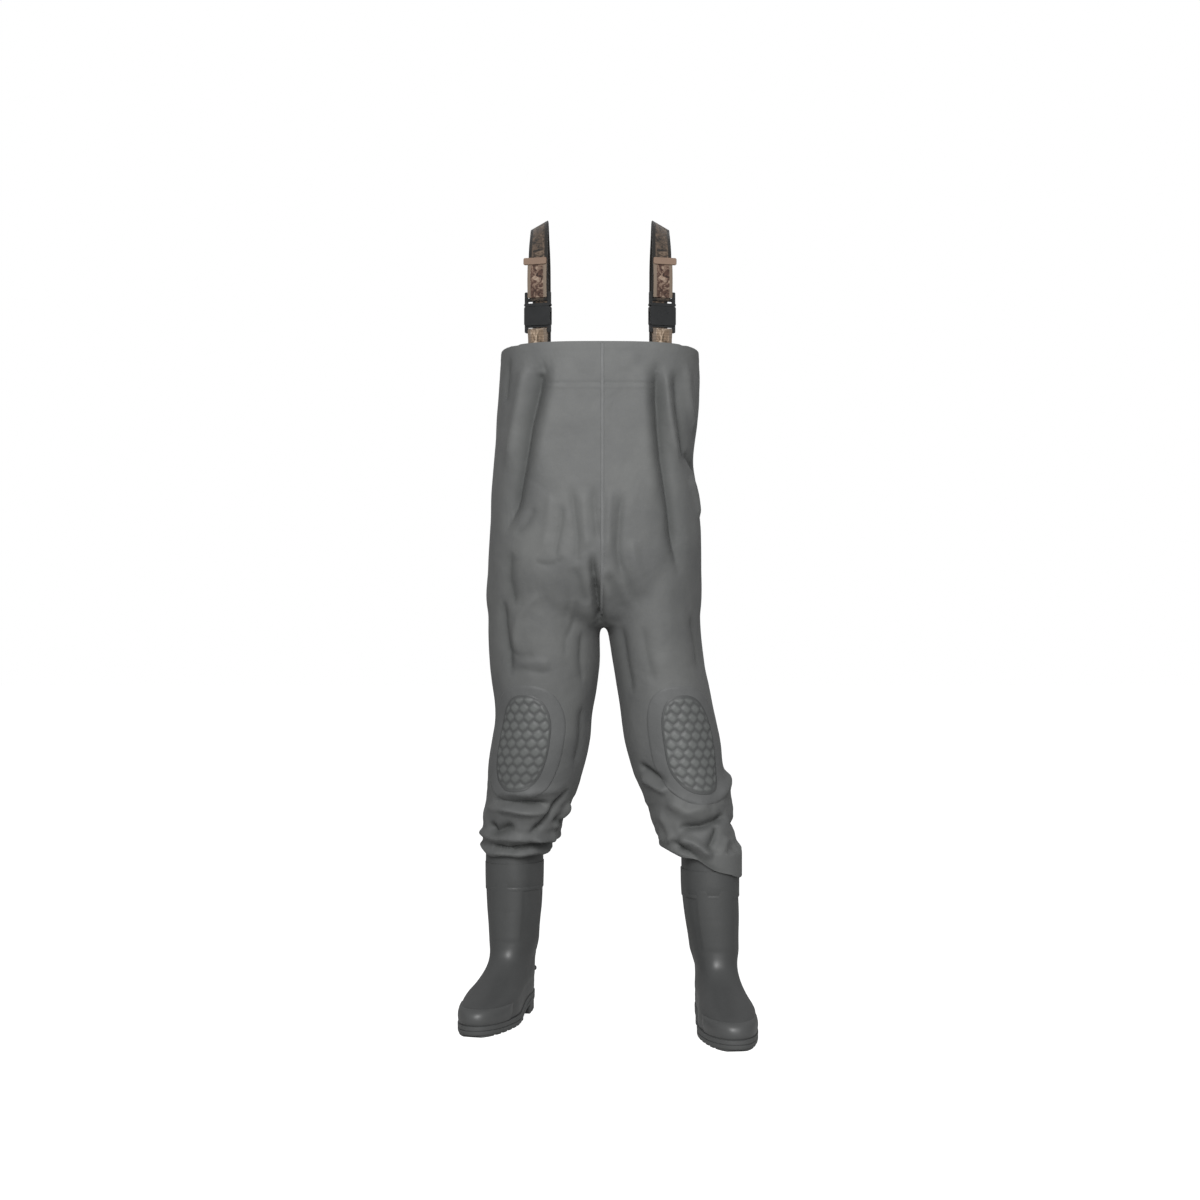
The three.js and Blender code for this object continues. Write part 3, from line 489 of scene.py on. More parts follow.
bibFolds = [
    # the front panel hangs flat between the braces, with a deep fold each side of it
    bibFold([(-93, 1172), (-97, 1149), (-107, 1107), (-124, 1043), (-137, 970), (-149, 906), (-166, 850)], -19, 15),
    bibFold([(-76, 1160), (-84, 1100), (-98, 1035), (-116, 950)], 4, 14),
    bibFold([(-128, 1165), (-138, 1107), (-152, 1035), (-164, 960)], 7, 13),
    bibFold([(-158, 1172), (-164, 1130), (-168, 1080)], -6, 8),
    bibFold([(98, 1172), (98, 1142), (101, 1085), (105, 1034), (114, 970), (124, 909), (133, 829),
             (138, 770)], -18, 14),
    bibFold([(80, 1160), (82, 1085), (88, 1000), (98, 920)], 4, 14),
    bibFold([(112, 1150), (120, 1075), (130, 1015), (143, 976)], 6, 9),
    bibFold([(129, 1150), (137, 1069), (149, 992), (160, 975)], -8, 9),
    bibFold([(150, 1160), (158, 1090), (166, 1030)], 5, 10),
    bibFold([(150, 1000), (164, 978), (176, 968)], -9, 7),
    bibFold([(158, 960), (170, 925), (176, 880)], 6, 12),
    # lines that run up from the crotch
    bibFold([(-12, 940), (-9, 890), (-4, 836)], -3.5, 6),
    bibFold([(-52, 945), (-47, 914), (-39, 852), (-41, 790)], -3.5, 6),
    bibFold([(-30, 930), (-27, 880), (-22, 820)], 2.5, 8),
    bibFold([(-64, 910), (-68, 868), (-80, 806)], -3, 6),
    bibFold([(-84, 930), (-90, 870), (-100, 815)], 2.5, 9),
    bibFold([(40, 930), (34, 893), (30, 830), (38, 762)], -4.5, 7),
    bibFold([(18, 940), (15, 870), (16, 810)], 3, 8),
    bibFold([(26, 820), (48, 775), (70, 722)], -3.5, 6),
    bibFold([(55, 850), (62, 800), (84, 740)], 3, 10),
    bibFold([(-110, 905), (-128, 870), (-150, 850)], -3, 7),
    bibFold([(-156, 830), (-158, 775), (-148, 722)], -6, 12),
    bibFold([(-60, 812), (-88, 800), (-118, 806)], -2.5, 6),
    # the cleft over the crotch
    bibFold([(-15, 826), (-12, 796), (-8, 764), (-4, 730), (-1, 704), (0, 668)], -16, 5.5),
    bibFold([(-9, 780), (-5, 748), (-2, 720), (0, 696), (0, 655)], -12, 8),
    bibFold([(-46, 800), (-34, 765), (-22, 728)], -4, 9),
    bibFold([(10, 790), (26, 762), (44, 716)], -4, 8),
    bibFold([(6, 800), (12, 770), (18, 735)], 2, 10),
    # the seat
    bibFold([(-70, 1130), (-62, 1040), (-58, 950)], -6, 16, 1),
    bibFold([(60, 1135), (66, 1030), (54, 940)], -6, 16, 1),
    bibFold([(-120, 1120), (-132, 1010), (-128, 900)], -8, 13, 1),
    bibFold([(118, 1120), (126, 1000), (134, 905)], -8, 13, 1),
    bibFold([(-20, 800), (-60, 850), (-110, 880)], -5, 11, 1),
    bibFold([(26, 800), (62, 842), (112, 868)], -5, 11, 1),
    bibFold([(-16, 770), (-56, 778), (-110, 760)], -4, 9, 1),
    bibFold([(24, 768), (64, 776), (116, 754)], -4, 9, 1),
    ([(2, 128, 800), (3, 104, 750), (4, 76, 706)], -20, 9),
]

legFolds = {
    "right": [
        # over the knee
        legFold("right", [(-94, 752), (-122, 737), (-142, 710), (-151, 680), (-150, 640)], 4, 9),
        legFold("right", [(-173, 750), (-168, 700), (-160, 640), (-156, 600)], -8, 10),
        legFold("right", [(-52, 797), (-57, 722), (-61, 630)], -3, 5),
        legFold("right", [(-38, 742), (-46, 700), (-60, 665)], -3, 6),
        legFold("right", [(-30, 690), (-34, 640), (-30, 590)], -4, 8),
        legFold("right", [(-164, 614), (-138, 620), (-104, 613), (-74, 617)], -2.2, 5.5),
        legFold("right", [(-168, 655), (-140, 640), (-112, 646)], -2.6, 7),
        legFold("right", [(-150, 630), (-116, 632), (-84, 626)], 2.2, 8),
        legFold("right", [(-30, 560), (-34, 500), (-48, 440)], -5, 9),
        # below the knee the cloth piles up
        legFold("right", [(-182, 402), (-125, 400), (-60, 412)], 8, 9),
        legFold("right", [(-192, 386), (-148, 386), (-118, 381), (-84, 380)], -16, 5.5),
        legFold("right", [(-204, 369), (-165, 371), (-131, 366), (-80, 369)], 11, 7),
        legFold("right", [(-53, 408), (-72, 384), (-86, 363), (-105, 340), (-128, 326)], -15, 6),
        legFold("right", [(-54, 384), (-66, 355), (-86, 332)], 10, 8),
        legFold("right", [(-200, 348), (-186, 326), (-161, 339), (-148, 330)], -14, 8),
        aroundLeg("right", [(-180, 318), (-150, 322), (-100, 318), (-60, 316), (-10, 312)], 9, 8),
        legFold("right", [(-205, 306), (-182, 302), (-161, 295), (-145, 301), (-118, 301), (-92, 303),
                          (-80, 306)], -15, 4.5),
        aroundLeg("right", [(-60, 316), (-35, 310), (-10, 310)], 6, 7),
        aroundLeg("right", [(-30, 318), (0, 312), (30, 316)], 8, 9),
        aroundLeg("right", [(-35, 350), (-10, 346), (30, 350)], -12, 7),
    ],
    "left": [
        legFold("left", [(72, 700), (82, 640), (96, 590)], -3, 9),
        legFold("left", [(160, 720), (170, 660), (176, 610)], -5, 11),
        legFold("left", [(34, 700), (44, 640), (58, 570)], -5, 9),
        legFold("left", [(66, 452), (84, 441), (118, 421)], -14, 6),
        legFold("left", [(70, 430), (92, 418), (122, 404)], 8, 7),
        aroundLeg("left", [(-60, 396), (-36, 408), (-8, 424), (20, 428)], 9, 11),
        legFold("left", [(112, 392), (150, 372), (196, 384)], 8, 10),
        legFold("left", [(132, 346), (146, 347), (175, 350), (204, 358), (224, 368)], -15, 6),
        legFold("left", [(100, 372), (116, 345), (132, 320)], 5, 9),
        legFold("left", [(134, 331), (165, 316), (196, 294)], 12, 9),
        legFold("left", [(122, 326), (137, 315), (160, 296), (185, 283), (217, 270)], -12, 4.5),
        legFold("left", [(132, 304), (152, 288), (188, 269), (215, 258)], 3, 5),
        legFold("left", [(206, 352), (198, 330), (188, 314), (180, 306)], -9, 6.5),
        legFold("left", [(222, 332), (214, 310), (206, 292)], 5, 8),
        aroundLeg("left", [(-40, 306), (-15, 302), (15, 308)], 8, 9),
        aroundLeg("left", [(-40, 350), (-8, 346), (30, 356)], -8, 7),
        aroundLeg("left", [(-170, 330), (-150, 322), (-130, 325)], 5, 9),
    ],
}
for word, folds in legFolds.items():
    # the same pile goes on round the calf and the back
    folds += [
        aroundLeg(word, [(10, 398), (50, 388), (95, 402), (140, 390), (165, 396)], -11, 7),
        aroundLeg(word, [(15, 378), (60, 366), (100, 380), (150, 368)], 7, 9),
        aroundLeg(word, [(60, 352), (95, 340), (130, 350), (170, 342)], -10, 7),
        aroundLeg(word, [(20, 330), (70, 322), (120, 330), (165, 322)], 7, 9),
        aroundLeg(word, [(5, 306), (60, 300), (110, 306), (150, 304)], -14, 6),
        aroundLeg(word, [(20, 290), (80, 284), (140, 290)], 6, 6),
        aroundLeg(word, [(40, 470), (90, 482), (140, 468)], -7, 9),
        aroundLeg(word, [(30, 505), (90, 515), (150, 500)], 5, 10),
        aroundLeg(word, [(50, 545), (95, 540), (135, 552)], -5, 9),
        aroundLeg(word, [(45, 440), (90, 430), (130, 442)], 6, 10),
        aroundLeg(word, [(70, 690), (80, 640), (75, 590)], -4, 12),
        aroundLeg(word, [(120, 680), (112, 630), (118, 580)], -4, 12),
    ]


def smoothly(mesh, rounds):
    # evens the points of a mesh out along its edges
    spots = coordinates(mesh)
    pairs = np.zeros(len(mesh.edges) * 2, np.int32)
    mesh.edges.foreach_get("vertices", pairs)
    pairs = pairs.reshape(-1, 2)
    count = np.bincount(pairs.ravel(), minlength=len(spots)).astype(float)[:, None]
    for _ in range(rounds):
        total = np.zeros_like(spots)
        np.add.at(total, pairs[:, 0], spots[pairs[:, 1]])
        np.add.at(total, pairs[:, 1], spots[pairs[:, 0]])
        spots += 0.5 * (total / count - spots)
    return spots


def ripple(spots, stretch, seed):
    sx, sy, sz = stretch
    return np.array([noise.noise(Vector((x * sx + seed, y * sy, z * sz))) for x, y, z in spots])


spots = coordinates(garment.data)
normals = coordinates(garment.data, "vertices", "normal")
rise, creaseShade = foldRise(spots, bibFolds + legFolds["right"] + legFolds["left"])
loose = np.clip((1.186 - spots[:, 2]) / 0.05, 0.15, 1)
rise += 1.6 * ripple(spots, (16, 16, 6), 3.1) + 0.9 * ripple(spots, (40, 40, 22), 7.7)
piled = np.clip((0.44 - spots[:, 2]) / 0.06, 0, 1)
rise += piled * (3.0 * ripple(spots, (20, 20, 44), 11.3) + 1.2 * ripple(spots, (52, 52, 90), 5.2))
rise *= loose
# the bib's folded edge, and the weld across its front that holds the pocket's foot
under = -((spots - np.array(bibEdge[0])) @ np.array(bibEdge[1])) * 1000
rise += 0.5 * (1 - smoothstep(under, 13, 15.5))
fromMiddle = np.abs(spots[:, 0] - wearerMiddle.x - cloth["seamX"] / 1000) * 1000
inFront = (spots[:, 1] < wearerMiddle.y) * (1 - smoothstep(fromMiddle, 90, 95))
welded = (spots[:, 2] * 1000 - cloth["weldHeight"]) / cloth["weldWidth"]
rise += inFront * (1.0 * np.exp(-((welded + 0.8) ** 2)) - 1.3 * np.exp(-((welded - 1) ** 2)))
between = smoothstep(spots[:, 2] * 1000, 1131, 1142) * (1 - smoothstep(spots[:, 2] * 1000, 1162, 1174))
rise += inFront * between * 1.5 * ripple(spots, (42, 10, 30), 2.4)
# the hem rolls outward a little and waves, more on the wearer's right, where it hangs level
for leg in legCut.values():
    spot, direction = hemPlane(leg)
    away = spots - np.array(spot)
    above = (away @ np.array(direction)) * 1000
    mine = (away[:, 0] + spot.x - wearerMiddle.x) * leg["side"] > 0
    rise += mine * (4.2 * np.exp(-(((above - 6) / 5) ** 2)) - 1.5 * np.exp(-((above / 2.2) ** 2)))
    _, hemX, hemY, _, _ = leg["rows"][-2]
    hemMiddle = place(hemX, hemY, 0)
    around = np.arctan2(spots[:, 1] - hemMiddle.y, spots[:, 0] - hemMiddle.x)
    wave = 2.6 * np.sin(3 * around + leg["side"]) + 1.6 * np.sin(7 * around + 2)
    if leg["side"] < 0:
        wave += 9 * np.clip(np.abs(np.cos(around)), 0, 1) ** 2.5
    spots[:, 2] += mine * wave * (1 - smoothstep(above, 4, 60)) / 1000
# behind the cloth the straps' ends stand close, so no crease goes deeper than the room there
overStraps = np.exp(-(((np.abs(spots[:, 0] - wearerMiddle.x) * 1000 - 108) / 30) ** 4))
strapEnd = np.where(spots[:, 1] < wearerMiddle.y, 1136, 1111)
slack = 4.5 + 40 * (1 - overStraps * smoothstep(spots[:, 2] * 1000, strapEnd - 22, strapEnd - 2))
rise = np.maximum(rise, -slack)
spots += normals * (rise / 1000)[:, None]
for word, leg in legCut.items():
    # the boot's shaft stands inside the cloth's foot
    turn = math.radians(leg["yaw"])
    middle = place(*shaft["places"][word], 0)
    away = spots[:, :2] - np.array(middle)[:2]
    u = (away[:, 0] * math.cos(turn) + away[:, 1] * math.sin(turn)) * 1000
    v = (-away[:, 0] * math.sin(turn) + away[:, 1] * math.cos(turn)) * 1000
    share = ((np.abs(u) / shaft["clear"][0]) ** 2.3 + (np.abs(v) / shaft["clear"][1]) ** 2.3) ** (1 / 2.3)
    grow = np.where((share < 1) & (spots[:, 2] < 0.302) & (share > 0.5), 1 / np.maximum(share, 0.1), 1)
    spots[:, :2] = np.array(middle)[:2] + away * grow[:, None]
garment.data.vertices.foreach_set("co", spots.astype(np.float32).ravel())
garment.data.update()
spots = smoothly(garment.data, 1)
garment.data.vertices.foreach_set("co", spots.astype(np.float32).ravel())
garment.data.update()
# the crease amounts go onto the mesh for the cloth material's painted shade
darker = garment.data.attributes.new("creaseShade", "FLOAT", "POINT")
darker.data.foreach_set("value", np.clip(creaseShade, 0, 1).astype(np.float32))
print("cloth folded")

# The whole cloth's own normals go with each part, so that no join shows.
smoothNormals = coordinates(garment.data, "vertices", "normal")
kept = garment.data.attributes.new("smoothNormal", "FLOAT_VECTOR", "POINT")
kept.data.foreach_set("vector", smoothNormals.astype(np.float32).ravel())
wholeCloth = bmesh.new()
wholeCloth.from_mesh(garment.data)
clothTree = BVHTree.FromBMesh(wholeCloth)

seamPlace = place(cloth["seamX"], 0, 0)
joinHeight = cloth["kneeJoin"] / 1000


def cutPart(name, planes):
    part = wholeCloth.copy()
    for spot, direction in planes:
        everything = part.verts[:] + part.edges[:] + part.faces[:]
        bmesh.ops.bisect_plane(part, geom=everything, plane_co=spot, plane_no=direction, clear_outer=True)
    data = bpy.data.meshes.new(name)
    part.to_mesh(data)
    part.free()
    made = bpy.data.objects.new(name, data)
    scene.collection.objects.link(made)
    made.data.materials.append(coatedCloth)
    wall = made.modifiers.new("wall", "SOLIDIFY")
    wall.thickness = cloth["wall"]
    wall.offset = -1
    choose(made)
    bpy.ops.object.modifier_apply(modifier=wall.name)
    useKeptNormals(made)
    return made


def useKeptNormals(made):
    data = made.data
    data.shade_smooth()
    stored = np.zeros(len(data.vertices) * 3, np.float32)
    data.attributes["smoothNormal"].data.foreach_get("vector", stored)
    stored = stored.reshape(-1, 3)
    corner = np.zeros(len(data.loops), np.int32)
    data.loops.foreach_get("vertex_index", corner)
    starts = np.zeros(len(data.polygons), np.int32)
    data.polygons.foreach_get("loop_start", starts)
    sizes = np.zeros(len(data.polygons), np.int32)
    data.polygons.foreach_get("loop_total", sizes)
    faces = np.repeat(coordinates(data, "polygons", "normal"), sizes, axis=0)
    ofCorner = stored[corner]
    lean = (ofCorner * faces).sum(1)
    chosen = np.where((lean > 0.25)[:, None], ofCorner, np.where((lean < -0.25)[:, None], -ofCorner, faces))
    length = np.linalg.norm(chosen, axis=1, keepdims=True)
    chosen = np.where(length > 1e-6, chosen / np.maximum(length, 1e-6), faces)
    data.normals_split_custom_set([tuple(n) for n in chosen.astype(float)])


for word, leg in legCut.items():
    side = leg["side"]
    upper = cutPart(word + "_bib_half", [(seamPlace, (-side, 0, 0)), ((0, 0, joinHeight), (0, 0, -1))])
    lower = cutPart(word + "_leg_sleeve", [(seamPlace, (-side, 0, 0)), ((0, 0, joinHeight), (0, 0, 1))])
    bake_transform(upper)
    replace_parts(upper, word + "_body_panel", word + "_hip_cloth", word + "_thigh_panel")
    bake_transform(lower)
    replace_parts(lower, word + "_knee_cloth", word + "_shin_panel")
bpy.data.objects.remove(garment)
print("cloth parted")


# ---------- forming pieces ----------
def fixNormals(made):
    choose(made)
    bpy.ops.object.mode_set(mode="EDIT")
    bpy.ops.mesh.select_all(action="SELECT")
    bpy.ops.mesh.normals_make_consistent(inside=False)
    bpy.ops.object.mode_set(mode="OBJECT")


def formGrid(name, material, across, along, shape, wall=0, side=-1, joined=False, uvSize=None,
             roundEdge=0, closed=False):
    # a grid of the given cells, each of its points put where shape(u, v) says, with u and v from 0 to 1
    bpy.ops.object.select_all(action="DESELECT")
    bpy.ops.mesh.primitive_grid_add(x_subdivisions=across, y_subdivisions=along, size=2, location=(0, 0, 0))
    made = bpy.context.object
    made.name = made.data.name = name
    uv = made.data.uv_layers[0].data
    if uvSize:
        for corner in uv:
            corner.uv = (corner.uv[0] * uvSize[0], corner.uv[1] * uvSize[1])
    for point in made.data.vertices:
        point.co = shape((point.co.x + 1) / 2, (point.co.y + 1) / 2)
    bpy.ops.object.mode_set(mode="EDIT")
    bpy.ops.mesh.select_all(action="SELECT")
    if joined:
        bpy.ops.mesh.remove_doubles(threshold=0.00002)
    if closed:
        bpy.ops.mesh.select_all(action="DESELECT")
        bpy.ops.mesh.select_mode(type="EDGE")
        bpy.ops.mesh.select_non_manifold()
        bpy.ops.mesh.fill_holes(sides=0)
        bpy.ops.mesh.select_all(action="SELECT")
    if joined or closed:
        bpy.ops.mesh.normals_make_consistent(inside=False)
    bpy.ops.object.mode_set(mode="OBJECT")
    made.data.materials.append(material)
    finish(made, wall, side, roundEdge)
    return made


def finish(made, wall=0, side=-1, roundEdge=0, angle=35):
    choose(made)
    if wall:
        layer = made.modifiers.new("wall", "SOLIDIFY")
        layer.thickness = wall
        layer.offset = side
        layer.use_even_offset = True
    if roundEdge:
        edge = made.modifiers.new("roundEdge", "BEVEL")
        edge.width = roundEdge
        edge.segments = 2
        edge.limit_method = "ANGLE"
        edge.angle_limit = math.radians(40)
    for step in list(made.modifiers):
        bpy.ops.object.modifier_apply(modifier=step.name)
    bpy.ops.object.shade_smooth_by_angle(angle=math.radians(angle))


def evenNormals(made):
    choose(made)
    even = made.modifiers.new("evenNormals", "WEIGHTED_NORMAL")
    even.keep_sharp = True
    bpy.ops.object.modifier_apply(modifier=even.name)


def join(pieces):
    choose(*pieces)
    bpy.ops.object.join()
    return pieces[0]


def softened(nodeName, material, width):
    # a moulded copy of a CAD node: its flat parts made whole again and its edges rounded
    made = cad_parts[nodeName].copy()
    made.data = made.data.copy()
    made.name = made.data.name = nodeName + "_moulded"
    scene.collection.objects.link(made)
    choose(made)
    bpy.ops.object.mode_set(mode="EDIT")
    bpy.ops.mesh.select_all(action="SELECT")
    bpy.ops.mesh.remove_doubles(threshold=0.00001)
    bpy.ops.mesh.dissolve_limited(angle_limit=math.radians(3))
    bpy.ops.object.mode_set(mode="OBJECT")
    made.data.materials.clear()
    made.data.materials.append(material)
    finish(made, roundEdge=width, angle=60)
    evenNormals(made)
    return made


def takePlace(piece, body, nodeName, slotName):
    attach(piece, body)
    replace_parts(piece, nodeName)


def addFact(made, name, values):
    fact = made.data.attributes.new(name, "FLOAT", "POINT")
    fact.data.foreach_set("value", np.asarray(values, np.float32))


# ---------- more materials ----------
# PVC injected round a last: dense and even, dark, with a broad satin highlight and faint flow marks.
def makeMoulded(name, dark, light, roughness, specular, grit):
    material, tree, surface, spot = newMaterial(name, roughness, specular)
    clouds = addNoise(tree, spot, 14.0, 5.0, Roughness=0.6)
    tree.links.new(mixColours(tree, clouds, linear(dark), linear(light)), surface.inputs["Base Color"])
    rub = addNoise(tree, spot, 55.0, 6.0, Roughness=0.7)
    wear = addRange(tree, rub, toLow=roughness - 0.07, toHigh=roughness + 0.1)
    tree.links.new(wear, surface.inputs["Roughness"])
    fine = addNoise(tree, spot, grit, 2.0)
    wide = addNoise(tree, spot, 18.0, 2.0)
    addBump(tree, surface, [(wide, 0.002, 0.35), (fine, 0.00012, 0.35)])
    return material


bootPvc = makeMoulded("injectedPvcBoot", "424343", "4b4c4c", 0.4, 0.5, 900.0)
# painted highlight: the sole's colour is paler than the upper's, standing in for the light falling on its
# upward-facing band
soleNitrile = makeMoulded("nitrilePvcSole", "4b4c4c", "565757", 0.5, 0.4, 700.0)
capPvc = makeMoulded("injectedPvcToeCap", "4a4b4b", "535454", 0.4, 0.5, 900.0)
# Acetal from a polished mould: near black, with small crisp lights along its rounded edges.
acetal = makeMoulded("acetalBuckle", "1a1b1c", "232425", 0.28, 0.5, 1200.0)
# Brushed polyester knit inside the boot: matt and slightly fuzzy.
liningKnit = makePlain("polyesterKnit", "4c4b49", 0.95, 0.1)
anchorCloth = makeCoatedCloth("coatedPolyesterPatch", "5c5d5d", "666766", 0.6)


# Jacquard polyester webbing: near black edges, a mottled brown middle like bark, and ribs across it. Its
# length runs along v and its width along u, both in metres.
def makeWebbing(name, dark, mid, pale, black, amount, border):
    material, tree, surface, _ = newMaterial(name, 0.75, 0.25, sheen=0.15)
    uv = addNode(tree, "ShaderNodeTexCoord").outputs["UV"]
    parts = addNode(tree, "ShaderNodeSeparateXYZ", None, {0: uv})
    halfWidth = 0.0175
    centred = addNode(tree, "ShaderNodeMath", {"operation": "SUBTRACT", 1: halfWidth}, {0: parts.outputs[0]})
    fromMiddle = addNode(tree, "ShaderNodeMath", {"operation": "ABSOLUTE"}, {0: centred.outputs[0]})
    edges = addRange(tree, fromMiddle.outputs[0], 0.0108, 0.0125)
    blots = addNoise(tree, uv, 95.0, 4.0, Roughness=0.62, Distortion=1.4)
    blotSteps = addNode(tree, "ShaderNodeValToRGB", None, {0: blots})
    stops = blotSteps.color_ramp
    stops.interpolation = "CONSTANT"
    stops.elements[0].color = linear(black)
    stops.elements[1].position = 0.41
    stops.elements[1].color = linear(dark)
    for position, colour in ((0.5, mid), (0.585, pale)):
        stops.elements.new(position).color = linear(colour)
    share = addRange(tree, addNoise(tree, uv, 30.0, 2.0), 0.4, 0.6, amount - 0.25, amount)
    middle = mixColours(tree, share, linear(black), blotSteps.outputs[0])
    # ribs 1.2 mm apart on the real webbing, drawn at 1.6 mm
    ribSettings = {"bands_direction": "Y", "Scale": 196.0, "Distortion": 0.3}
    ribs = addNode(tree, "ShaderNodeTexWave", ribSettings, {"Vector": uv}).outputs["Fac"]
    base = mixColours(tree, edges, middle, linear(border))
    base = mixColours(tree, addRange(tree, ribs, toHigh=0.22), base, linear("171614"))
    tree.links.new(base, surface.inputs["Base Color"])
    addBump(tree, surface, [(ribs, 0.0004, 0.6)])
    return material


braceWebbing = makeWebbing("jacquardBraceWebbing", "4a3f35", "5f5044", "7b6a5a", "242220", 0.95, "242220")
tailWebbing = makeWebbing("jacquardTailWebbing", "503a31", "7d685a", "9c8979", "2c211b", 1.0, "786a5d")
stopWebbing = makeMoulded("sewnWebbingEnd", "66554a", "8a7566", 0.8, 0.2, 600.0)
footWebbing = makeWebbing("jacquardFootWebbing", "7a6857", "a3907d", "c2b19e", "554839", 1.0, "6f6256")


# The knee pad is heat-pressed foam with a PVC skin, raised in scales. Its colour is painted light and shade:
# lighter on the scales' tops and darker in the pressed grooves round them.
def makePressed(name, low, high, roughness):
    material, tree, surface, spot = newMaterial(name, roughness, 0.35)
    height = addNode(tree, "ShaderNodeAttribute", {"attribute_name": "scaleHeight"})
    litScaleTops = mixColours(tree, addNoise(tree, spot, 22.0, 5.0), linear(high), paler(high, 1.18))
    # painted highlight and shade: the colour goes from dark in the grooves to light on the scale tops, by how far
    # up a scale each point lies
    base = mixColours(tree, height.outputs["Fac"], linear(low), litScaleTops)
    tree.links.new(base, surface.inputs["Base Color"])
    addBump(tree, surface, [(addNoise(tree, spot, 420.0, 3.0), 0.0003, 0.4)])
    return material


padFoam = makePressed("pressedFoamPad", "4c4d4d", "5c5e5d", 0.5)
patchCloth = makeCoatedCloth("laminatedKneeCloth", "575858", "606161", 0.55)
weldTape = makeCoatedCloth("weldedSeamTape", "5d5e5e", "676868", 0.48)
print("materials mixed")

# ---------- knees ----------
knee = {
    "middle": 488, "facing": 20,
    "patch": (76, 104), "patchRise": 1.6, "patchSunk": -0.8,
    "pad": (50, 90), "padRise": 4.2, "rim": 5,
    "scaleWidth": 17.5, "scaleHeight": 15.5, "scaleDome": 1.5,
}


def kneeSpot(leg, across, up, push=45):
    z = knee["middle"] + up
    x, y, a, b = rowAt(leg["rows"], z)
    turn = legTurn(leg, z)
    angle = math.radians(-90 + leg["side"] * knee["facing"]) + across / a - turn
    px, py = ovalPoint((x, y, a, b), angle, cloth["legPower"], turn)
    outward = Vector((px - x, py - y, 0)).normalized()
    start = place(px, py, z) + outward * push / 1000
    hit, _, _, distance = clothTree.ray_cast(start, -outward, 0.1)
    return start, outward, (distance if hit else push / 1000)


def kneePlan(size):
    def plan(u, v):
        u, v = 2 * u - 1, 2 * v - 1
        x, y = u * math.sqrt(1 - v * v / 2), v * math.sqrt(1 - u * u / 2)
        share, around = math.hypot(x, y), math.atan2(y, x)
        c, s = math.cos(around), math.sin(around)
        width = size[0] * share * math.copysign(abs(c) ** 0.8, c)
        height = size[1] * share * math.copysign(abs(s) ** 0.8, s)
        return width, height, (1 - share) * min(size)
    return plan


def kneeSheet(name, leg, size, cells, riseAt, material, wall):
    # the layer bridges the cloth's small folds, so the way down to the cloth is evened out first
    plan = kneePlan(size)
    across, along = cells
    starts, outs, reach, rises = [], [], np.zeros((across + 1, along + 1)), np.zeros((across + 1, along + 1))
    for i in range(across + 1):
        for j in range(along + 1):
            width, height, inside = plan(i / across, j / along)
            start, out, distance = kneeSpot(leg, width, height)
            starts.append(start)
            outs.append(out)
            reach[i, j] = distance
            rises[i, j] = riseAt(width, height, inside)
    even = reach.copy()
    for _ in range(14):
        even[1:-1, 1:-1] = (even[:-2, 1:-1] + even[2:, 1:-1] + even[1:-1, :-2] + even[1:-1, 2:]) / 4
        even = np.minimum(even, reach)

    def shape(u, v):
        i, j = round(u * across), round(v * along)
        k = i * (along + 1) + j
        return starts[k] - outs[k] * (even[i, j] - rises[i, j] / 1000)

    return formGrid(name, material, across, along, shape, wall=wall)


def patchRise(width, height, inside):
    return knee["patchSunk"] + (knee["patchRise"] - knee["patchSunk"]) * float(smoothstep(inside, 0, 3.5))


def scaleAt(width, height):
    # how far up a scale this point is, from 0 in the groove to 1 on top
    best = 9.0
    row = height / knee["scaleHeight"]
    for r in (math.floor(row), math.floor(row) + 1):
        shift = 0.5 * (r % 2)
        column = round(width / knee["scaleWidth"] - shift) + shift
        dx = (width - column * knee["scaleWidth"]) / (0.56 * knee["scaleWidth"])
        dz = (height - r * knee["scaleHeight"]) / (0.60 * knee["scaleHeight"])
        best = min(best, abs(dx) ** 1.35 + abs(dz) ** 1.35)
    return 1 - float(smoothstep(best, 0.25, 1.15))


def padRise(width, height, inside):
    edge = float(smoothstep(inside, 0, 3.5))
    field = float(smoothstep(inside, knee["rim"] - 1, knee["rim"] + 2.5))
    return -0.5 + edge * (knee["padRise"] - 1.2) + field * (knee["scaleDome"] * scaleAt(width, height) + 0.6)


for word, leg in legCut.items():
    patch = kneeSheet(word + "_knee_panel", leg, knee["patch"], (60, 80), patchRise, patchCloth, 0.0011)
    pad = kneeSheet(word + "_knee_cushion", leg, knee["pad"], (84, 132), padRise, padFoam, 0.0024)
    plan = kneePlan(knee["pad"])
    # how far up a scale each point of the pad lies, kept on the mesh for the painted highlight and shade of the
    # pad's colour
    scaleLightShade = []
    for j in range(133):
        for i in range(85):
            width, height, inside = plan(i / 84, j / 132)
            scaleLightShade.append(scaleAt(width, height) * float(smoothstep(inside, knee["rim"] - 1, knee["rim"] + 2)))
    count = len(pad.data.vertices)
    addFact(pad, "scaleHeight", (scaleLightShade + scaleLightShade)[:count] if count >= 2 * len(scaleLightShade) else [0.5] * count)
    # the knee panel gets no painted crease shade
    addFact(patch, "creaseShade", [0] * len(patch.data.vertices))
    for piece, nodeName in ((patch, "_knee_patch"), (pad, "_knee_pad")):
        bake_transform(piece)
        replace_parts(piece, word + nodeName)
print("knees laid")

# ---------- boots ----------
boot = {
    "length": 300, "halfWidth": 53, "behind": 62, "heelRise": 30, "foreSole": 14, "toeSpring": 1.5,
    "around": 96, "wall": 0.0026, "top": 296, "cuffLow": 222,
    "bend": 5, "splay": {"right": 3.8, "left": 1.9}, "lean": {"right": 0, "left": 8},
    "lug": 12, "lugPitch": 19, "lugs": 8, "heelFront": 0.71, "sock": 3.8,
}
toeY = boot["behind"] - boot["length"]
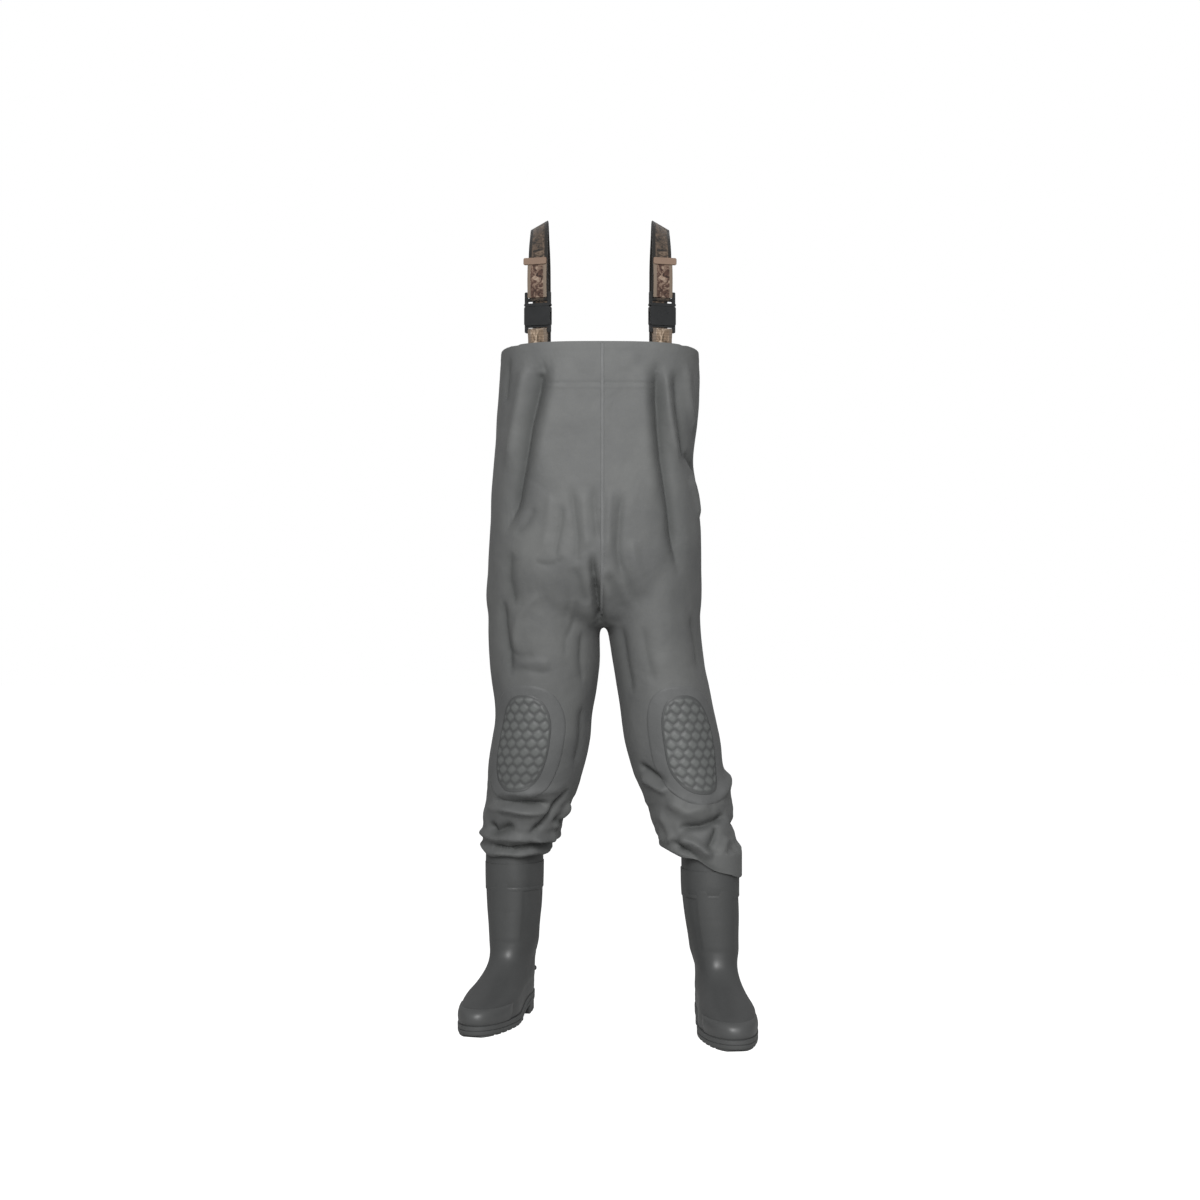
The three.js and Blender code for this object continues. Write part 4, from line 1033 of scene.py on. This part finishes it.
# Rows give a height over the foot's underside, the front and back ends and the half width.
bootCut = [
    (-2, toeY + 9, 55, 47), (8, toeY + 4, 58, 50), (18, toeY + 5, 60, 51), (26, toeY + 10, 61, 50),
    (34, toeY + 26, 62, 50), (42, toeY + 52, 62, 48.5), (50, toeY + 80, 62, 46.5), (59, toeY + 108, 61, 45),
    (69, toeY + 133, 60.5, 43.5), (80, toeY + 152, 60, 42.5), (92, toeY + 165, 59, 42),
    (106, -66.5, 58, 41.5), (125, -63.5, 57.5, 42), (150, -62, 57, 43.5), (190, -61, 59, 47.5),
    (268, -60, 60, 50), (300, -60, 60, 50),
]


def underfoot(y):
    along = (y - toeY) / boot["length"]
    heel = (boot["heelRise"] - boot["foreSole"]) * float(smoothstep(along, 0.42, 0.74))
    return boot["foreSole"] + heel + boot["toeSpring"] * (1 - float(smoothstep(along, 0, 0.2)))


def bootPoint(row, angle, side, out=0):
    z, front, back, a = row
    low = 1 - float(smoothstep(z, 60, 130))
    along = math.sin(angle)
    y = (front + back) / 2 + ((back - front) / 2 + out) * along
    share = (y - toeY) / boot["length"]
    narrow = 0.2 * low * float(smoothstep(share, 0.34, 0.62))
    across = math.cos(angle)
    x = (a + out) * math.copysign(abs(across) ** 0.86, across) * (1 - narrow)
    inward = -side * boot["bend"] * low * (1 - float(smoothstep(share, 0, 0.5)))
    return x + inward, y, z + underfoot(y) * (1 - float(smoothstep(z, 40, 150)))


def bootPlace(word, point):
    leg = legCut[word]
    turn = math.radians(leg["yaw"] + leg["side"] * boot["splay"][word])
    ox, oy = shaft["places"][word]
    x, y, z = point
    ox += leg["side"] * boot["lean"][word] * (1 - float(smoothstep(z, 90, 250)))
    c, s = math.cos(turn), math.sin(turn)
    return place(ox + x * c - y * s, oy + x * s + y * c, z)


def bootHeights():
    # rings close together where the instep slopes away, so that their faces stay square
    heights = [-2.0]
    while heights[-1] < boot["top"]:
        z = heights[-1]
        slope = abs(rowAt(bootCut, z + 1)[0] - rowAt(bootCut, z)[0])
        heights.append(z + min(4.0, 4.0 / max(slope, 1)))
    heights[-1] = boot["top"]
    return heights


ringHeights = bootHeights()


def between(value, low, high):
    return float(smoothstep(value, low, high))


def bootRelief(angle, z, y):
    # a raised panel down the shaft's front with a groove across it, a heel counter, and a band over the sole
    front = abs(math.degrees(math.atan2(math.cos(angle), -math.sin(angle))))
    panel = (1 - between(front, 36, 41)) * between(z, 128, 140) * (1 - between(z, 238, 242))
    groove = math.exp(-(((z - 186) / 1.6) ** 2)) * (1 - between(front, 34, 38))
    edge = 96 - 0.62 * max(58 - y, 0)
    counter = between(y, -30, -10) * (1 - between(z - edge, -3, 3)) * (1 - between(z, 118, 126))
    band = between(z, 3, 7) * (1 - between(z, 11, 13))
    rise = 1.3 * panel
    rise -= 0.8 * groove
    rise += 1.1 * counter
    rise += 0.8 * band
    return rise


def makeBoot(word, side):
    rows = [(z, *rowAt(bootCut, z)) for z in ringHeights]
    count = len(rows) - 1

    def upperShape(u, v):
        row = rows[round(v * count)]
        angle = 2 * math.pi * u
        _, y, _ = bootPoint(row, angle, side)
        at = Vector((math.cos(angle) * 1.6, math.sin(angle) * 1.6 + side * 5, row[0] / 45))
        dent = 0.7 * noise.noise(at)
        return bootPlace(word, bootPoint(row, angle, side, bootRelief(angle, row[0], y) + dent))

    upper = formGrid(word + "_boot_shell", bootPvc, boot["around"], count, upperShape,
                     wall=boot["wall"], joined=True)

    def liningShape(u, v):
        z = 8 + v * 250
        row = (z, *rowAt(bootCut, z))
        return bootPlace(word, bootPoint(row, 2 * math.pi * u, side, -boot["sock"]))

    lining = formGrid(word + "_boot_sock", liningKnit, 48, 60, liningShape, wall=0.001, joined=True)

    def insoleShape(u, v):
        profile = [(5.0, -8), (4.2, -6), (4.2, -5.6), (8.6, -5.6), (9.2, -6.4)]
        z, out = profile[round(v * 4)]
        row = (8, *rowAt(bootCut, 8))
        x, y, _ = bootPoint(row, 2 * math.pi * u, side, out)
        return bootPlace(word, (x, y, z + underfoot(y)))

    insole = formGrid(word + "_footbed", liningKnit, 72, 4, insoleShape, joined=True, closed=True)

    # the outsole: its edge is a rounded strip with a groove, and lugs and a heel block stand under it
    edgeProfile = [(-12, -4), (-12, -1.6), (-11, -0.5), (-9, 0), (-5.4, 0), (-4.6, -1.2), (-3.9, -1.2),
                   (-3.1, 0.1), (1.2, 0.3), (2.7, 0.1), (3.4, -1.2), (3.4, -5)]
    soleRow = (0, toeY, boot["behind"], boot["halfWidth"])

    def soleShape(u, v):
        z, out = edgeProfile[round(v * (len(edgeProfile) - 1))]
        x, y, _ = bootPoint(soleRow, 2 * math.pi * u, side, out)
        return bootPlace(word, (x, y, z + underfoot(y)))

    sole = formGrid(word + "_sole_plate", soleNitrile, 120, len(edgeProfile) - 1, soleShape,
                    joined=True, closed=True)
    plan = np.array([bootPoint(soleRow, 2 * math.pi * i / 240, side, -2)[:2] for i in range(240)])

    def widthAt(y):
        edges = []
        for half in (plan[60:181], np.concatenate([plan[180:], plan[:61]])):
            order = np.argsort(half[:, 1])
            edges.append(float(np.interp(y, half[order, 1], half[order, 0])))
        return min(edges), max(edges)

    def lug(first, last, low, high, name):
        def top(u, v):
            y = first + (last - first) * v
            edges = widthAt(y)
            x = edges[0] + (edges[1] - edges[0]) * (low + (high - low) * u)
            return bootPlace(word, (x, y, underfoot(y) - 11.5))

        # the top lies in the plate, and what is drawn out of it goes down to the ground
        made = formGrid(name, soleNitrile, 4, 6, top)
        bpy.ops.object.mode_set(mode="EDIT")
        bpy.ops.mesh.select_all(action="SELECT")
        bpy.ops.mesh.extrude_region_move(TRANSFORM_OT_translate={"value": (0, 0, -0.001)})
        bpy.ops.object.mode_set(mode="OBJECT")
        for point in made.data.vertices:
            if point.select:
                point.co.z = 0
        fixNormals(made)
        finish(made, roundEdge=0.0009)
        return made

    parts = [sole]
    for i in range(boot["lugs"]):
        first = toeY + (7 if i == 0 else 18 + i * boot["lugPitch"])
        last = toeY + 18 + i * boot["lugPitch"] + boot["lug"]
        for low, high in ((0, 1),) if i == 0 else ((0, 0.46), (0.54, 1)):
            parts.append(lug(first, last, low, high, word + "_lug"))
    heelFront = toeY + boot["heelFront"] * boot["length"]
    ends = [heelFront, heelFront + 17, heelFront + 36, heelFront + 55, boot["behind"] - 4]
    for first, last in zip(ends, ends[1:]):
        for low, high in ((0, 0.46), (0.54, 1)):
            parts.append(lug(first + (0 if first == heelFront else 2.5), last - 2.5, low, high, word + "_lug"))

    def heelShape(u, v):
        z, out = [(5, -3.5), (5, -2.4), (14, -2), (24, -2)][round(v * 3)]
        a = 2 * math.pi * u
        x, y, _ = bootPoint(soleRow, a, side, out)
        y = max(y, heelFront + 2)
        edges = widthAt(y)
        x = min(max(x, edges[0]), edges[1])
        return bootPlace(word, (x, y, z))

    parts.append(formGrid(word + "_heel_block", soleNitrile, 96, 3, heelShape, joined=True, closed=True))
    sole = join(parts)
    sole.name = sole.data.name = word + "_tread_sole"

    def capShape(u, v):
        # from one side of the toe round to the other, with a rolled upper edge
        angle = math.radians(-90 + (u - 0.5) * 134)
        profile = [(3, 0.2), (3.2, 1.8), (8, 2.3), (14, 2.5), (19, 2.5), (23.5, 2.5), (27, 2.4),
                   (29.2, 1.8), (30, 0.6), (30, -0.8)]
        z, out = profile[round(v * 9)]
        fade = float(smoothstep(abs(u - 0.5), 0.5, 0.43))
        row = (z, *rowAt(bootCut, z))
        return bootPlace(word, bootPoint(row, angle, side, -0.8 + (out + 0.8) * fade + 0.3))

    cap = formGrid(word + "_toe_bumper", capPvc, 80, 9, capShape, wall=0.0012)

    def cuffShape(u, v):
        profile = [(0, 0.0), (0.4, 0.7), (1.4, 1.0), (6, 1.0), (7, 0.6), (8, 1.0), (24, 1.0), (48, 0.8)]
        z, out = profile[round(v * 7)]
        z += boot["cuffLow"]
        row = (z, *rowAt(bootCut, z))
        return bootPlace(word, bootPoint(row, 2 * math.pi * u, side, out + 0.4))

    cuff = formGrid(word + "_boot_band", bootPvc, boot["around"], 7, cuffShape, wall=0.0012, joined=True)
    spur = softened(word + "_heel_spur", soleNitrile, 0.0015)
    # the spur is cut to the CAD's foot, so it takes the splay and lean that this foot has
    yaw = math.radians(legCut[word]["yaw"])
    for point in spur.data.vertices:
        away = (point.co - place(*shaft["places"][word], 0)) * 1000
        x = away.x * math.cos(yaw) + away.y * math.sin(yaw)
        y = away.y * math.cos(yaw) - away.x * math.sin(yaw)
        point.co = bootPlace(word, (x, y, away.z))
    for piece, nodeName, slotName in (
        (upper, "boot_upper", "boot_shell"), (lining, "boot_lining", "lining"),
        (insole, "insole", "lining"), (sole, "outsole", "boot_sole"), (cap, "toe_cap", "boot_shell"),
        (cuff, "boot_cuff", "seam_weld"), (spur, "heel_spur", "boot_sole"),
    ):
        takePlace(piece, word + "_lower_leg", word + "_" + nodeName, slotName)


for word, leg in legCut.items():
    makeBoot(word, leg["side"])
print("boots moulded")

# ---------- seams and pocket ----------
seam = {"halfWidth": 3.6, "rise": 1.3, "top": 1187, "low": 716}


def clothFace(x, z, face, push=240):
    start = place(x, face * push, z)
    return clothTree.ray_cast(start, Vector((0, -face, 0)), push / 1000)[0]


def makeSeam(name, face, top):
    profile = [(-1, -0.9), (-0.82, 0.5), (-0.3, 1), (0.3, 1), (0.82, 0.5), (1, -0.9)]
    heights = np.arange(seam["low"], top, 4.0)
    ways = []
    for z in heights:
        hit = clothFace(cloth["seamX"], z, face)
        ways.append(hit.y if hit else (ways[-1] if ways else place(0, face * 90, z).y))
    ways = np.array(ways)
    for _ in range(4):
        ways[1:-1] = (ways[:-2] + 2 * ways[1:-1] + ways[2:]) / 4
    slopes = np.gradient(ways, heights / 1000)

    def shape(u, v):
        k = round(v * (len(heights) - 1))
        across, rise = profile[round(u * 5)]
        out = Vector((0, face, -face * slopes[k])).normalized()
        x = place(cloth["seamX"] + across * seam["halfWidth"], 0, 0).x
        spot = Vector((x, ways[k], heights[k] / 1000))
        return spot + out * (rise * seam["rise"] / 1000)

    made = formGrid(name, weldTape, 5, len(heights) - 1, shape, closed=True)
    # the seam tape gets no painted crease shade
    addFact(made, "creaseShade", [0] * len(made.data.vertices))
    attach(made, "trunk")
    return made


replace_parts(makeSeam("front_welded_seam", -1, seam["top"]), "front_centre_seam")
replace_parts(makeSeam("back_welded_seam", 1, cloth["bibBack"]), "back_centre_seam")

anchors = [word + face + "_anchor" for face in ("_front", "_back") for word in ("right", "left")]
for nodeName in ["inner_pocket"] + anchors:
    made = softened(nodeName, anchorCloth, 0.0004)
    # the patches get no painted crease shade
    addFact(made, "creaseShade", [0] * len(made.data.vertices))
    takePlace(made, "trunk", nodeName, "patch_cloth")
print("seams welded")

# ---------- braces ----------
brace = {
    "width": 35, "thickness": 1.8, "x": 108, "inset": 8.5, "top": 1411, "slope": 29,
    "wrap": 3.8, "lockRise": 76.1, "lockGap": 11, "anchor": 52, "tail": 60, "crossHeight": 1196,
    "crossBehind": 4.4,
}


bibTop = cloth["bibTop"]


def bibFace(x, z, face):
    return frontPoint(bibCut, bibPower(z), x, z, face)[1]


def bibYaw(x, z, face):
    return math.atan2(bibFace(x + 1, z, face) - bibFace(x - 1, z, face), 2)


def webbing(name, material, points):
    # points are pairs of a middle and the direction across the webbing
    middles = [place(*p[0]) for p in points]
    ways = [Vector(p[1]).normalized() for p in points]
    length = sum((b - a).length for a, b in zip(middles, middles[1:]))
    half = brace["width"] / 2000

    def shape(u, v):
        k = round(v * (len(points) - 1))
        return middles[k] + ways[k] * (2 * u - 1) * half

    return formGrid(name, material, 6, len(points) - 1, shape, wall=brace["thickness"] / 1000, side=0,
                    uvSize=(brace["width"] / 1000, length), roundEdge=0.0004)


def centripetal(points, count):
    knots = [Vector(p) for p in points]
    knots = [2 * knots[0] - knots[1]] + knots + [2 * knots[-1] - knots[-2]]
    out = []
    for i in range(count + 1):
        at = i / count * (len(points) - 1)
        k = min(int(at), len(points) - 2)
        t = at - k
        p = knots[k : k + 4]
        d = [max((p[j + 1] - p[j]).length ** 0.5, 1e-4) for j in range(3)]
        t1 = ((p[1] - p[0]) / d[0] - (p[2] - p[0]) / (d[0] + d[1]) + (p[2] - p[1]) / d[1]) * d[1]
        t2 = ((p[2] - p[1]) / d[1] - (p[3] - p[1]) / (d[1] + d[2]) + (p[3] - p[2]) / d[2]) * d[1]
        c2 = -3 * p[1] + 3 * p[2] - 2 * t1 - t2
        c3 = 2 * p[1] - 2 * p[2] + t1 + t2
        out.append(p[1] + t1 * t + c2 * t * t + c3 * t**3)
    return out


def mix(a, b, t):
    return a + (b - a) * t


for word, leg in legCut.items():
    side = leg["side"]
    x = side * brace["x"]
    yawFront, yawBack = bibYaw(x, bibTop, -1), bibYaw(x, bibTop, 1)
    frontY, backY = bibFace(x, bibTop, -1) + brace["inset"], bibFace(x, bibTop, 1) - brace["inset"]
    acrossFront = (math.cos(yawFront), math.sin(yawFront), 0)

    def atFront(y, z):
        return (x - y * math.sin(yawFront), frontY + y * math.cos(yawFront), bibTop + z)

    def facing(yaw, roll):
        return (math.cos(yaw) * math.cos(roll), math.sin(yaw), -side * math.sin(roll))

    wrap, lock = brace["wrap"], brace["lockRise"]
    # over the shoulder
    points = []
    for i in range(13):
        angle = math.pi * (1 + i / 12)
        points.append((atFront(wrap * math.cos(angle), lock + wrap * math.sin(angle)), facing(yawFront, 0)))
    for z in (lock + 5, lock + brace["lockGap"] + 6, lock + brace["lockGap"] + 12):
        points.append((atFront(wrap, z), facing(yawFront, 0)))
    start = atFront(wrap, lock + brace["lockGap"] + 18)
    endZ = brace["crossHeight"] + 40
    rise = brace["top"] - start[2]
    curve = centripetal([
        start,
        (x, mix(start[1], 0, 0.05), start[2] + 0.24 * rise),
        (x, mix(start[1], 0, 0.22), start[2] + 0.58 * rise),
        (x, mix(start[1], 0, 0.56), start[2] + 0.9 * rise),
        (x, 0, brace["top"]),
        (x, mix(0, backY, 0.46), start[2] + 0.88 * rise),
        (x, mix(0, backY, 0.8), start[2] + 0.54 * rise),
        (x, mix(0, backY, 0.96), mix(start[2], endZ, 0.3) + 0.16 * rise),
        (x, backY, endZ),
    ], 110)
    for at in curve:
        high = float(smoothstep(at.z, start[2] + 0.3 * rise, brace["top"] - 4))
        yaw = mix(yawFront, yawBack, float(smoothstep(at.y, frontY, backY)))
        points.append((tuple(at), facing(yaw, math.radians(brace["slope"]) * high)))
    for z in np.linspace(endZ - 6, cloth["bibBack"] - brace["anchor"], 20):
        points.append(((x, backY, z), facing(yawBack, 0)))
    strap = webbing(word + "_brace_webbing", braceWebbing, points)
    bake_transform(strap)
    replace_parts(strap, word + "_shoulder_strap")

    # the short piece under the buckle: up out of the bib, over the bar and back down
    points = []
    tuck = brace["thickness"] / 2 + 0.5
    for z in np.linspace(-brace["anchor"], 4, 8):
        points.append((atFront(-tuck, z), acrossFront))
    for i in range(13):
        angle = math.pi * (1 - i / 12)
        points.append((atFront(wrap * math.cos(angle), 20 + wrap * math.sin(angle)), acrossFront))
    for z in np.linspace(4, -brace["anchor"], 8):
        points.append((atFront(tuck, z), acrossFront))
    foot = webbing(word + "_brace_foot", footWebbing, points)
    takePlace(foot, "trunk", word + "_front_strap", "webbing")

    # the free end, folded down in front, bowing a little away from the brace behind it
    points = []
    for t in np.linspace(0, 1, 16):
        bow = 1.6 * math.sin(math.pi * t)
        points.append((atFront(-wrap - bow, lock + 1.3 + t * brace["tail"]), acrossFront))
    tailEnd = webbing(word + "_brace_tail", tailWebbing, points)
    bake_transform(tailEnd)
    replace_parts(tailEnd, word + "_strap_tail")

    for nodeName, material, body, slotName, edge in (
        ("buckle_socket", acetal, "trunk", "buckle_plastic", 0.0007),
        ("buckle_plug", acetal, word + "_plug", "buckle_plastic", 0.0006),
        ("outer_prong", acetal, word + "_outer_prong", "buckle_plastic", 0.0004),
        ("inner_prong", acetal, word + "_inner_prong", "buckle_plastic", 0.0004),
        ("tail_stop", stopWebbing, word + "_tail", "webbing", 0.0012),
    ):
        made = softened(word + "_" + nodeName, material, edge)
        takePlace(made, body, word + "_" + nodeName, slotName)

points = []
half = brace["x"] + brace["width"] / 2
for x in np.linspace(-half, half, 40):
    y = bibFace(x, bibTop, 1) - brace["inset"] + brace["crossBehind"]
    points.append(((x, y, brace["crossHeight"]), (0, 0, 1)))
cross = webbing("back_cross_webbing", braceWebbing, points)
takePlace(cross, "trunk", "back_cross_strap", "webbing")
print("braces threaded")

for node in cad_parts.values():
    node.data.materials.clear()
    node.data.materials.append(anchorCloth)

low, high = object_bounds()
